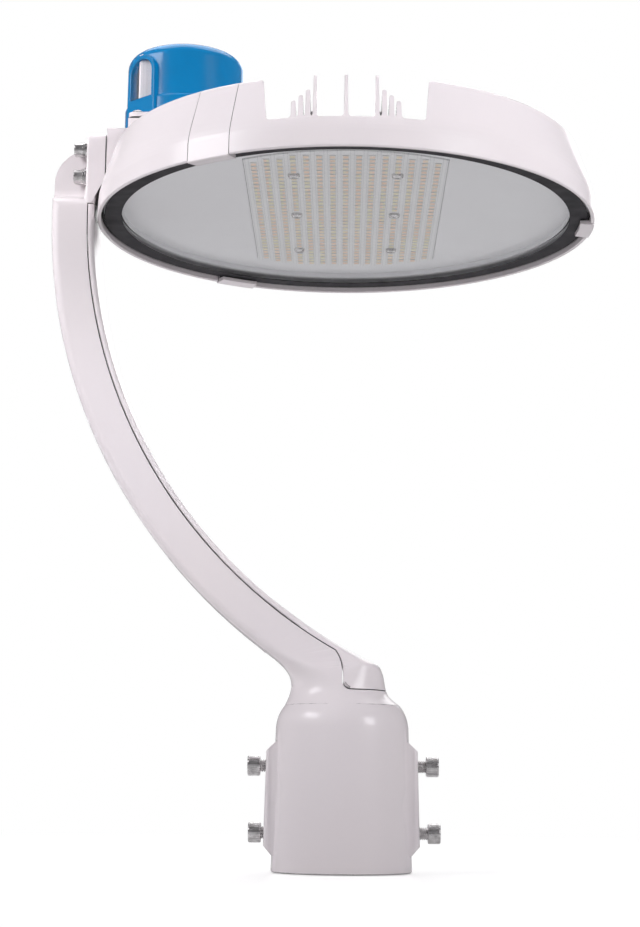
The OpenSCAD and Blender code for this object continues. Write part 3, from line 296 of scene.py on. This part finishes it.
def makePlastic(changes):
    spec = {**plasticSet, **changes}
    base, rough = spec["base"], spec["rough"]
    mat, tree, shader = startMaterial(spec["name"], base, rough, Specular_IOR_Level=spec["specular"])
    rounded = roundedNormal(tree, spec["edgeRadius"])
    body = mixColour(tree, clouded(tree, spec["toneSize"], 4), base, spec["second"])
    # painted highlight: the edges are drawn paler than the body
    pale = tuple(min(1, c * spec["edgeGain"] + spec["edgeLift"]) for c in base)
    edgeHighlightShare = calculate(tree, "MULTIPLY", edgeMask(tree, rounded), spec["edgeShare"])
    tree.links.new(mixColour(tree, edgeHighlightShare, body, pale), shader.inputs["Base Color"])
    haze = clouded(tree, spec["roughSize"], 3, rough * (1 - spec["roughSpread"]), rough * (1 + spec["roughSpread"]))
    tree.links.new(haze, shader.inputs["Roughness"])
    grain = noiseOf(tree, spec["grain"], 3)
    tree.links.new(bumpFrom(tree, grain, spec["grainDepth"], rounded), shader.inputs["Normal"])
    return mat


# Glass and the photocell's window: a faint film, dust and a slight wave
glassSet = {
    "tint": (0.70, 0.71, 0.73),
    "rough": 0.05,
    "alpha": 0.06,
    "film": 0.09,
    "filmGain": 2.5,
    "wave": 0.06,
    "waveDepth": 0.000006,
    "dust": (0.66, 0.67, 0.68),
    "dustSize": 0.004,
    "dustMost": 0.25,
}
windowSet = {**glassSet, "tint": (0.86, 0.86, 0.90), "alpha": 0.08, "waveDepth": 0.00002}


def makeGlass(name, spec):
    mat, tree, shader = startMaterial(name, spec["tint"], spec["rough"], Alpha=spec["alpha"], IOR=1.5)
    film = clouded(tree, spec["film"], 4, spec["rough"], spec["rough"] * spec["filmGain"])
    tree.links.new(film, shader.inputs["Roughness"])
    tree.links.new(bumpFrom(tree, noiseOf(tree, spec["wave"], 1), spec["waveDepth"]), shader.inputs["Normal"])
    dust = ranged(tree, noiseOf(tree, spec["dustSize"], 5), 0.35, 0.75, 0, spec["dustMost"])
    tree.links.new(mixColour(tree, dust, spec["tint"], spec["dust"]), shader.inputs["Base Color"])
    return mat


# LED board: white solder mask with faint copper strips beside each LED column and rungs between the rows
ledPitch = {"x": 0.0082, "y": 0.0071}
boardSet = {
    "mask": (0.86, 0.87, 0.875),
    "maskShade": 0.97,
    "maskSize": 0.05,
    "trace": (0.72, 0.73, 0.74),
    "strip": (0.36, 0.028),  # place and half width, as shares of the pitch
    "rung": (0.96, 0.03),
    "rungShare": 0.5,
    "relief": 0.00003,
    "rough": (0.36, 0.5),
    "roughSize": 0.01,
}


def makeBoard(name, spec):
    mat, tree, shader = startMaterial(name, spec["mask"], spec["rough"][0])
    parts = addNode(tree, "ShaderNodeSeparateXYZ")
    tree.links.new(objectPoint(tree), parts.inputs[0])

    def placeInPitch(axis, pitch, offset):
        steps = calculate(tree, "DIVIDE", parts.outputs[axis], pitch)
        return calculate(tree, "FRACT", calculate(tree, "ADD", steps, offset))

    def stripeAt(value, place, half):
        away = calculate(tree, "ABSOLUTE", calculate(tree, "SUBTRACT", value, place))
        return calculate(tree, "LESS_THAN", away, half)

    column = placeInPitch("X", ledPitch["x"], 100.5)
    row = placeInPitch("Y", ledPitch["y"], 100.0)
    fromColumn = calculate(tree, "ABSOLUTE", calculate(tree, "SUBTRACT", column, 0.5))
    rung = calculate(tree, "MULTIPLY", stripeAt(row, *spec["rung"]), spec["rungShare"])
    line = calculate(tree, "MAXIMUM", stripeAt(fromColumn, *spec["strip"]), rung)
    shaded = tuple(c * spec["maskShade"] for c in spec["mask"])
    cloud = mixColour(tree, clouded(tree, spec["maskSize"], 3), spec["mask"], shaded)
    tree.links.new(mixColour(tree, line, cloud, spec["trace"]), shader.inputs["Base Color"])
    tree.links.new(clouded(tree, spec["roughSize"], 3, *spec["rough"]), shader.inputs["Roughness"])
    tree.links.new(bumpFrom(tree, line, spec["relief"]), shader.inputs["Normal"])
    return mat


# LED phosphor: a cell four rows high takes one tone between yellow and peach
phosphorSet = {
    "yellow": (0.83, 0.80, 0.52),
    "peach": (0.93, 0.67, 0.50),
    "pale": (0.83, 0.80, 0.66),
    "cell": (ledPitch["x"], 4 * ledPitch["y"], 0.1),
    "drift": 0.03,
    "toneRange": (0.25, 0.6),
    "grain": 0.0007,
    "grainMost": 0.5,
    "bump": 0.0004,
    "bumpDepth": 0.00004,
    "rough": 0.35,
}


def makePhosphor(name, spec):
    mat, tree, shader = startMaterial(name, spec["yellow"], spec["rough"])
    cell = addNode(tree, "ShaderNodeVectorMath", operation="SNAP")
    tree.links.new(objectPoint(tree), cell.inputs[0])
    cell.inputs[1].default_value = spec["cell"]
    batch = addNode(tree, "ShaderNodeTexWhiteNoise", noise_dimensions="3D")
    tree.links.new(cell.outputs["Vector"], batch.inputs["Vector"])
    drift = ranged(tree, noiseOf(tree, spec["drift"], 2), 0.35, 0.65, 0, 1)
    tone = calculate(tree, "MULTIPLY", calculate(tree, "ADD", batch.outputs["Value"], drift), 0.5)
    share = ranged(tree, tone, *spec["toneRange"], 0, 1)
    warm = mixColour(tree, share, spec["yellow"], spec["peach"])
    grain = clouded(tree, spec["grain"], 2, 0, spec["grainMost"])
    tree.links.new(mixColour(tree, grain, warm, spec["pale"]), shader.inputs["Base Color"])
    tree.links.new(bumpFrom(tree, noiseOf(tree, spec["bump"], 2), spec["bumpDepth"]), shader.inputs["Normal"])
    return mat


finishes = {
    "powder_coat": makePowderCoat("powderCoat", coatSet),
    "arm_coat": makePowderCoat("armPowderCoat", {**coatSet, "edgeRadius": 0.0003}),
    "stainless": makeSteel("stainlessSteel", steelSet),
    "washer_steel": makeSteel("washerSteel", washerSet),
    "driver_case": makeSteel("driverCase", driverSet),
    "contact_brass": makeSteel("contactBrass", brassSet),
    "clear_glass": makeGlass("clearGlass", glassSet),
    "window": makeGlass("windowPlastic", windowSet),
    "board": makeBoard("boardMask", boardSet),
    "led": makePhosphor("ledPhosphor", phosphorSet),
}
for slotName, plastic in plastics.items():
    finishes[slotName] = makePlastic(plastic)

for subpart in frame["record"]["subparts"]:
    holder = nodesByName[subpart["node"]]
    if not holder.material_slots:
        holder.data.materials.append(None)
    finish = "arm_coat" if subpart["node"].startswith("arm_") else subpart["material_slot"]
    for matSlot in holder.material_slots:
        matSlot.material = finishes[finish]
print("materials:", len(finishes))


# Mesh helpers
creaseAngle = 38


def meshPiece(name, points, faces, material, smooth=True):
    mesh = bpy.data.meshes.new(name)
    mesh.from_pydata([tuple(p) for p in points], [], faces)
    mesh.validate()
    mesh.materials.append(material)
    if smooth:
        mesh.shade_smooth()
        mesh.set_sharp_from_angle(angle=math.radians(creaseAngle))
    obj = bpy.data.objects.new(name, mesh)
    bpy.context.scene.collection.objects.link(obj)
    return obj


# Joins rings of points, one after the other, into a closed skin
def skinRings(rings):
    points = [p for ring in rings for p in ring]
    count = len(rings[0])
    faces = []
    for r in range(len(rings) - 1):
        a, b = r * count, (r + 1) * count
        for i in range(count):
            j = (i + 1) % count
            faces.append((a + i, a + j, b + j, b + i))
    faces.append(tuple(reversed(range(count))))
    faces.append(tuple((len(rings) - 1) * count + i for i in range(count)))
    return points, faces


# Turns a closed profile of (radius, height) points about the Z axis
def turned(name, profile, material, around=256):
    points, faces = [], []
    for k in range(around):
        a = 2 * math.pi * k / around
        points += [(r * math.cos(a), r * math.sin(a), z) for r, z in profile]
    n = len(profile)
    for k in range(around):
        this, after = k * n, (k + 1) % around * n
        faces += [(this + i, after + i, after + (i + 1) % n, this + (i + 1) % n) for i in range(n)]
    return meshPiece(name, points, faces, material)


# Socket head cap screws. Lengths are in metres, and shares are of the thread's diameter where nothing else is said
capScrewSet = {
    "around": 96,
    "head": 0.8,              # radius
    "ridges": 32,
    "ridgeDepth": 0.014,      # share of the head's radius
    "ridgeTop": 0.86,
    "crown": ((0, 0.9), (0.02, 0.955), (0.05, 0.985), (0.09, 1)),  # how far in, how high
    "socket": 0.74476,        # across the flats
    "socketMouth": 0.79672,
    "socketFloor": 0.45,
    "pitch": {8: 0.00125, 6: 0.001},
    "threadDepth": 0.6134,    # share of the pitch
    "flank": (1.25, 2.6),     # top and slope of the thread's section
    "leadIn": 0.05,
    "stepsPerPitch": 6,
}


# One screw with a ridged head and a real thread, head towards +Z and its seat at z = 0
def capScrew(size, length, spec):
    d = size / 1000
    headR = spec["head"] * d
    pitch = spec["pitch"][size]
    crest = d / 2
    root = crest - spec["threadDepth"] * pitch
    turns = [2 * math.pi * i / spec["around"] for i in range(spec["around"])]

    def ringOf(radii, z):
        return [Vector((r * math.cos(a), r * math.sin(a), z)) for a, r in zip(turns, radii)]

    def circle(r, z):
        return ringOf([r] * len(turns), z)

    def ridged(r, z):
        depth = headR * spec["ridgeDepth"]
        return ringOf([r - depth * (0.5 - 0.5 * math.cos(a * spec["ridges"])) for a in turns], z)

    def hexagon(across, z):
        return ringOf([across / 2 / math.cos(a % (math.pi / 3) - math.pi / 6) for a in turns], z)

    def threaded(z):
        ease = min(1.0, (z + length) / pitch + spec["leadIn"])
        top, slope = spec["flank"]
        radii = []
        for a in turns:
            phase = (z / pitch - a / (2 * math.pi)) % 1
            lift = max(0.0, min(1.0, top - abs(phase - 0.5) * slope))
            radii.append(root + (crest - root) * lift * ease)
        return ringOf(radii, z)

    steps = round(length / pitch * spec["stepsPerPitch"])
    rings = [threaded(-length + length * s / steps) for s in range(steps + 1)]
    rings += [circle(crest, -0.0001), circle(crest + 0.0002, 0)]
    rings += [circle(headR - 0.0005, 0), circle(headR - 0.0002, 0.0001), circle(headR, 0.0005)]
    rings += [ridged(headR, 0.0009), ridged(headR, spec["ridgeTop"] * d)]
    rings += [circle(headR - inward * d, height * d) for inward, height in spec["crown"]]
    rings += [hexagon(spec["socketMouth"] * d + 0.0005, d), hexagon(spec["socket"] * d, d - 0.0004)]
    rings += [hexagon(spec["socket"] * d, spec["socketFloor"] * d)]
    return skinRings(rings)


def addScrew(parts, matrix, size, length):
    points, faces = capScrew(size, length, capScrewSet)
    offset = len(parts[0])
    parts[0].extend(matrix @ p for p in points)
    parts[1].extend(tuple(i + offset for i in face) for face in faces)


# Arm casting and cover: the CAD's own surfaces with clean facets and smooth shading
armSet = {
    "merge": 0.00002,
    "sharp": 32,
    "flat": 0.3,     # degrees between two facets that are joined into one
    "web": 0.012,    # joined facets start this far below the flange screws, and keep the web free of streaks
    "inset": {"arm_casting": 0.0, "arm_cover": 0.00025},
}


def smoothCopy(nodeName, spec):
    source = nodesByName[nodeName]
    work = bmesh.new()
    work.from_mesh(source.data)
    bmesh.ops.transform(work, matrix=source.matrix_world, verts=work.verts)
    bmesh.ops.remove_doubles(work, verts=work.verts, dist=spec["merge"])
    bmesh.ops.dissolve_degenerate(work, dist=spec["merge"], edges=work.edges)
    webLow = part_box("flange_screws")[0].z - spec["web"]
    webFaces = [face for face in work.faces if face.calc_center_median().z > webLow]
    bmesh.ops.join_triangles(work, faces=webFaces, angle_face_threshold=math.radians(spec["flat"]),
                             angle_shape_threshold=math.pi)
    work.normal_update()
    for vert in work.verts:
        vert.co -= vert.normal * spec["inset"][nodeName]
    mesh = bpy.data.meshes.new(nodeName + "Smooth")
    work.to_mesh(mesh)
    work.free()
    mesh.materials.append(finishes["arm_coat"])
    mesh.shade_smooth()
    mesh.set_sharp_from_angle(angle=math.radians(spec["sharp"]))
    smooth = bpy.data.objects.new(nodeName + "Smooth", mesh)
    bpy.context.scene.collection.objects.link(smooth)
    weights = smooth.modifiers.new("faceWeights", "WEIGHTED_NORMAL")
    weights.keep_sharp = True
    return smooth


for nodeName in armSet["inset"]:
    armPiece = smoothCopy(nodeName, armSet)
    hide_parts(nodeName)
    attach(armPiece, "light")
print("arm surfaces made")


# Clamp screws
clampSet = {"size": 8, "length": 0.012, "spin": 17}
for index in (1, 2, 3, 4):
    nodeName = f"clamp_screw_{index}"
    low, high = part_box(nodeName)
    onRight = high.x > 0
    seat = high.x - clampSet["size"] / 1000 if onRight else low.x + clampSet["size"] / 1000
    turn = Matrix.Rotation(math.radians(90 if onRight else -90), 4, "Y")
    spin = Matrix.Rotation(math.radians(clampSet["spin"] * index), 4, "Z")
    place = Matrix.Translation((seat, 0, (low.z + high.z) / 2))
    parts = ([], [])
    addScrew(parts, place @ turn @ spin, clampSet["size"], clampSet["length"])
    screw = meshPiece(f"clampScrew{index}", *parts, finishes["stainless"])
    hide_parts(nodeName)
    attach(screw, nodeName)
print("clamp screws made")


# Flange screws
flangeScrewSet = {"size": 6, "length": 0.028, "spin": 23}
low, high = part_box("flange_screws")
radius = capScrewSet["head"] * flangeScrewSet["size"] / 1000
seat = low.x + flangeScrewSet["size"] / 1000
turn = Matrix.Rotation(math.radians(-90), 4, "Y")
corners = [(y, z) for z in (low.z + radius, high.z - radius) for y in (low.y + radius, high.y - radius)]
parts = ([], [])
for k, (y, z) in enumerate(corners):
    spin = Matrix.Rotation(math.radians(flangeScrewSet["spin"] * k), 4, "Z")
    addScrew(parts, Matrix.Translation((seat, y, z)) @ turn @ spin, flangeScrewSet["size"], flangeScrewSet["length"])
flangeScrews = meshPiece("flangeScrews", *parts, finishes["stainless"])
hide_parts("flange_screws")
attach(flangeScrews, "light")
print("flange screws made")


# Glass seal, with a lip that runs down round the glass's edge. Its flat pad shows the reflector's film
sealSet = {"pad": 0.0095, "gap": 0.00005, "lip": 0.0007, "bead": 0.0003, "inset": 0.0005, "ease": 0.0001}
glassLow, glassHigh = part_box("glass")
sealLow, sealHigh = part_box("glass_gasket")
glassR = glassHigh.x
sealIn = glassR - sealSet["pad"]
lipOut = glassR + sealSet["lip"]
lipIn = glassR + sealSet["gap"]
foot = glassLow.z + sealSet["inset"]
bead = sealSet["bead"]
glassSeal = turned("glassSeal", [
    (sealIn, sealLow.z), (lipIn, sealLow.z), (lipIn, foot + bead), (lipIn + bead, foot),
    (lipOut - sealSet["ease"], foot), (lipOut, foot + bead), (lipOut, sealHigh.z - bead),
    (lipOut - bead, sealHigh.z), (sealIn, sealHigh.z),
], finishes["grey_rubber"])
glassSeal.data.materials.append(finishes["reflector"])
for face in glassSeal.data.polygons:
    inward = Vector(face.center.xy).length < glassR
    face.material_index = 1 if inward and face.center.z >= sealLow.z - sealSet["ease"] else 0
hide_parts("glass_gasket")
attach(glassSeal, "light")

# Printed border, drawn on the glass's outer face, where the real glass makes it appear
borderSet = {"width": 0.012, "chamfer": 0.0006, "near": 0.00001, "thick": 0.00005}
borderTop = glassLow.z - borderSet["near"]
borderFoot = borderTop - borderSet["thick"]
borderIn = glassR - borderSet["width"]
borderOut = glassR - borderSet["chamfer"]
glassBorder = turned("glassBorder", [
    (borderIn, borderFoot), (borderOut, borderFoot), (borderOut, borderTop), (borderIn, borderTop),
], finishes["print"])
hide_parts("glass_border")
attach(glassBorder, "light")

# Folded edge of the reflector plate, down to the glass
rimSet = {"sheet": 0.0006, "clear": 0.0003, "inset": 0.00005, "fold": 0.0002}
plateLow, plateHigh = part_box("reflector_plate")
rimOut = plateHigh.x - rimSet["inset"]
rimIn = rimOut - rimSet["sheet"]
rimFoot = glassHigh.z + rimSet["clear"]
reflectorRim = turned("reflectorRim", [
    (rimIn, rimFoot + rimSet["fold"] / 2), (rimOut - rimSet["fold"], rimFoot), (rimOut, rimFoot + rimSet["fold"]),
    (rimOut, plateLow.z), (rimIn, plateLow.z),
], finishes["reflector"])
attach(reflectorRim, "light")
print("glass seal, border and reflector rim made")


# Photocell relay
relaySet = {"left": 0.0015, "round": 0.0012}


# A block with all its edges cut
def roundedBlock(name, low, high, cut, material):
    corners = ((low.x, low.y, 1, 1), (high.x, low.y, -1, 1), (high.x, high.y, -1, -1), (low.x, high.y, 1, -1))

    def loop(z, inset):
        out = []
        for k, (x, y, sx, sy) in enumerate(corners):
            first = (x + sx * inset, y + sy * (inset + cut), z)
            second = (x + sx * (inset + cut), y + sy * inset, z)
            out += [first, second] if k % 2 == 0 else [second, first]
        return out

    rings = [loop(low.z, cut), loop(low.z + cut, 0), loop(high.z - cut, 0), loop(high.z, cut)]
    return meshPiece(name, *skinRings(rings), material)


relayLow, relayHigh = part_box("photocell_relay")
relayLow = Vector((relayLow.x + relaySet["left"], relayLow.y, relayLow.z))
relay = roundedBlock("photocellRelay", relayLow, relayHigh, relaySet["round"], finishes["relay"])
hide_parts("photocell_relay")
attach(relay, "photocell")
print("photocell relay made")


# LEDs
ledSet = {
    "columns": 15,
    "reach": 0.123,
    "side": 0.0040,
    "length": 0.0050,
    "frame": 0.0003,
    "sink": 0.00012,
    "ease": 0.0001,
    "trayCut": 0.0002,
    "poolCut": 0.0004,
    "floorCut": 0.0003,
    "screwX": 4 * ledPitch["x"],
    "screwRows": (-0.0825, 0, 0.0825),
    "screwClear": 0.006,
}
ledBody = makePlastic({"name": "ledBody", "base": (0.80, 0.80, 0.79), "second": (0.76, 0.76, 0.75),
                       "rough": 0.4, "grain": 0.0006, "grainDepth": 0.00001, "edgeRadius": 0.0001})


# One package: a white tray (kind 1) with a phosphor pool (kind 0), its window facing down
def addLed(points, faces, kinds, x, y, zLow, zHigh, spec):
    half = spec["side"] / 2
    longer = (spec["length"] - spec["side"]) / 2
    inner = half - spec["frame"]
    ease, sink = spec["ease"], spec["sink"]
    start = len(points)

    def square(wide, z, cut):
        far = wide + longer
        side = ((wide - cut, far), (wide, far - cut))
        quarters = ((-1, -1, side), (-1, 1, side[::-1]), (1, 1, side), (1, -1, side[::-1]))
        return [(x + sx * a, y + sy * b, z) for sx, sy, pair in quarters for a, b in pair]

    tray, pool = spec["trayCut"], spec["poolCut"]
    loops = [square(half, zHigh, tray), square(half, zLow + ease, tray), square(half - ease, zLow, tray),
             square(inner, zLow, pool), square(inner - ease, zLow + sink, pool),
             square(inner * 0.5, zLow + sink * 0.4, spec["floorCut"])]
    for loop in loops:
        points.extend(loop)
    n = len(loops[0])
    for r in range(len(loops) - 1):
        a, b = start + r * n, start + (r + 1) * n
        for i in range(n):
            j = (i + 1) % n
            faces.append((a + i, b + i, b + j, a + j))
            kinds.append(1 if r < 4 else 0)
    last = start + (len(loops) - 1) * n
    faces.append(tuple(last + i for i in reversed(range(n))))
    kinds.append(0)
    faces.append(tuple(start + i for i in range(n)))
    kinds.append(1)


low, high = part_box("leds")
points, faces, kinds = [], [], []
ledCount = 0
halfColumns = (ledSet["columns"] - 1) // 2
for i in range(-halfColumns, halfColumns + 1):
    x = i * ledPitch["x"]
    run = math.floor(math.sqrt(ledSet["reach"] ** 2 - x * x) / ledPitch["y"] - 0.5)
    for j in range(-run - 1, run + 1):
        y = (j + 0.5) * ledPitch["y"]
        near = min(math.hypot(abs(x) - ledSet["screwX"], y - s) for s in ledSet["screwRows"])
        if near > ledSet["screwClear"]:
            addLed(points, faces, kinds, x, y, low.z, high.z, ledSet)
            ledCount += 1
leds = meshPiece("ledArray", points, faces, finishes["led"], smooth=False)
leds.data.materials.append(ledBody)
for face, kind in zip(leds.data.polygons, kinds):
    face.material_index = kind
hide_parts("leds")
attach(leds, "light")
print("LEDs made:", ledCount)


# Floor: a pale disc that turns into the white background away from the light
floorSet = {
    "radius": 4.0,
    "around": 64,
    "rings": 24,
    "height": -0.0004,
    "shade": 0.74,
    "rough": 0.3,
    "lift": 0.5,
    "nearWhite": 0.35,
    "farWhite": 1.1,
}


def makeFloor(spec):
    count, height = spec["around"], spec["height"]
    points = [(0, 0, height)]
    for r in range(1, spec["rings"] + 1):
        reach = spec["radius"] * (r / spec["rings"]) ** 2
        for i in range(count):
            a = 2 * math.pi * i / count
            points.append((reach * math.cos(a), reach * math.sin(a), height))
    faces = [(0, 1 + i, 1 + (i + 1) % count) for i in range(count)]
    for r in range(spec["rings"] - 1):
        a, b = 1 + r * count, 1 + (r + 1) * count
        faces += [(a + i, b + i, b + (i + 1) % count, a + (i + 1) % count) for i in range(count)]
    mat, tree, shader = startMaterial("studioFloor", (spec["shade"],) * 3, spec["rough"], IOR=1.35)
    place = addNode(tree, "ShaderNodeVectorMath", operation="LENGTH")
    tree.links.new(objectPoint(tree), place.inputs[0])
    away = addNode(tree, "ShaderNodeMapRange", {"From Min": spec["nearWhite"], "From Max": spec["farWhite"]},
                   interpolation_type="SMOOTHSTEP")
    tree.links.new(place.outputs["Value"], away.inputs["Value"])
    path = addNode(tree, "ShaderNodeLightPath")
    seen = calculate(tree, "MULTIPLY", away.outputs["Result"], path.outputs["Is Camera Ray"])
    glow = addNode(tree, "ShaderNodeEmission", {"Color": (1, 1, 1, 1), "Strength": 1.0})
    lift = addNode(tree, "ShaderNodeEmission", {"Color": (1, 1, 1, 1)})
    tree.links.new(calculate(tree, "MULTIPLY", path.outputs["Is Camera Ray"], spec["lift"]), lift.inputs["Strength"])
    lifted = addNode(tree, "ShaderNodeAddShader")
    tree.links.new(shader.outputs[0], lifted.inputs[0])
    tree.links.new(lift.outputs[0], lifted.inputs[1])
    blend = addNode(tree, "ShaderNodeMixShader")
    tree.links.new(seen, blend.inputs[0])
    tree.links.new(lifted.outputs[0], blend.inputs[1])
    tree.links.new(glow.outputs[0], blend.inputs[2])
    tree.links.new(blend.outputs[0], tree.nodes["Material Output"].inputs["Surface"])
    floor = meshPiece("studioFloor", points, faces, mat)


# World: dim and even for the object, white for what the camera sees past it or through glass
worldSet = {"ambient": (0.82, 0.80, 0.83), "ambientStrength": 0.26}


def makeWorld(spec):
    world = bpy.data.worlds.new("studioWorld")
    world.use_nodes = True
    bpy.context.scene.world = world
    tree = world.node_tree
    dim = tree.nodes["Background"]
    dim.inputs["Color"].default_value = (*spec["ambient"], 1)
    dim.inputs["Strength"].default_value = spec["ambientStrength"]
    white = addNode(tree, "ShaderNodeBackground", {"Color": (1, 1, 1, 1), "Strength": 1.0})
    path = addNode(tree, "ShaderNodeLightPath")
    seen = calculate(tree, "MAXIMUM", path.outputs["Is Camera Ray"], path.outputs["Is Transmission Ray"])
    blend = addNode(tree, "ShaderNodeMixShader")
    tree.links.new(seen, blend.inputs[0])
    tree.links.new(dim.outputs[0], blend.inputs[1])
    tree.links.new(white.outputs[0], blend.inputs[2])
    tree.links.new(blend.outputs[0], tree.nodes["World Output"].inputs["Surface"])


# Lamps: mirrored says whether the lamp shows in glossy surfaces, and spread is in degrees
lampSet = {
    "overhead": {"place": (0, 0.25, 1.7), "aim": (0, 0, 0.42), "size": (1.6, 1.2), "power": 14,
                 "colour": (1, 0.99, 1), "spread": 180, "mirrored": True},
    "keyLeft": {"place": (-0.9, -0.7, 0.8), "aim": (-0.25, 0, 0.45), "size": (0.5, 0.5), "power": 0.5,
                "colour": (1, 0.985, 1), "spread": 40, "mirrored": False},
    "keyRight": {"place": (0.9, -0.7, 0.8), "aim": (0.12, -0.05, 0.48), "size": (0.5, 0.5), "power": 0.48,
                 "colour": (1, 0.985, 1), "spread": 40, "mirrored": False},
    "boxLeft": {"place": (-1.45, -0.72, 1.2), "aim": (-0.11, 0, 0.5), "size": (0.95, 0.5), "power": 8,
                "colour": (1, 0.985, 1), "spread": 180, "mirrored": True},
    "boxRight": {"place": (1.2, -1.0, 0.65), "aim": (0, 0, 0.2), "size": (0.5, 0.6), "power": 5.5,
                 "colour": (1, 0.985, 1), "spread": 180, "mirrored": True},
    "sideLeft": {"place": (-1.7, 0.15, 1.0), "aim": (-0.15, 0, 0.4), "size": (0.8, 1.0), "power": 5,
                 "colour": (1, 0.985, 1), "spread": 180, "mirrored": False},
    "fromBehind": {"place": (0.2, 1.6, 1.1), "aim": (0, 0, 0.4), "size": (1.4, 0.9), "power": 8,
                   "colour": (1, 1, 1), "spread": 180, "mirrored": True},
}


def makeLamp(name, spec):
    lamp = bpy.data.lights.new(name, "AREA")
    lamp.shape = "RECTANGLE"
    lamp.size, lamp.size_y = spec["size"]
    lamp.energy = spec["power"]
    lamp.color = spec["colour"]
    lamp.spread = math.radians(spec["spread"])
    obj = bpy.data.objects.new(name, lamp)
    bpy.context.scene.collection.objects.link(obj)
    obj.location = spec["place"]
    obj.rotation_euler = (Vector(spec["aim"]) - Vector(spec["place"])).to_track_quat("-Z", "Y").to_euler()
    obj.visible_glossy = spec["mirrored"]


makeFloor(floorSet)
makeWorld(worldSet)
for lampName, lampSpec in lampSet.items():
    makeLamp(lampName, lampSpec)
bpy.context.scene.view_settings.view_transform = "Standard"
print("floor, world and lamps made")
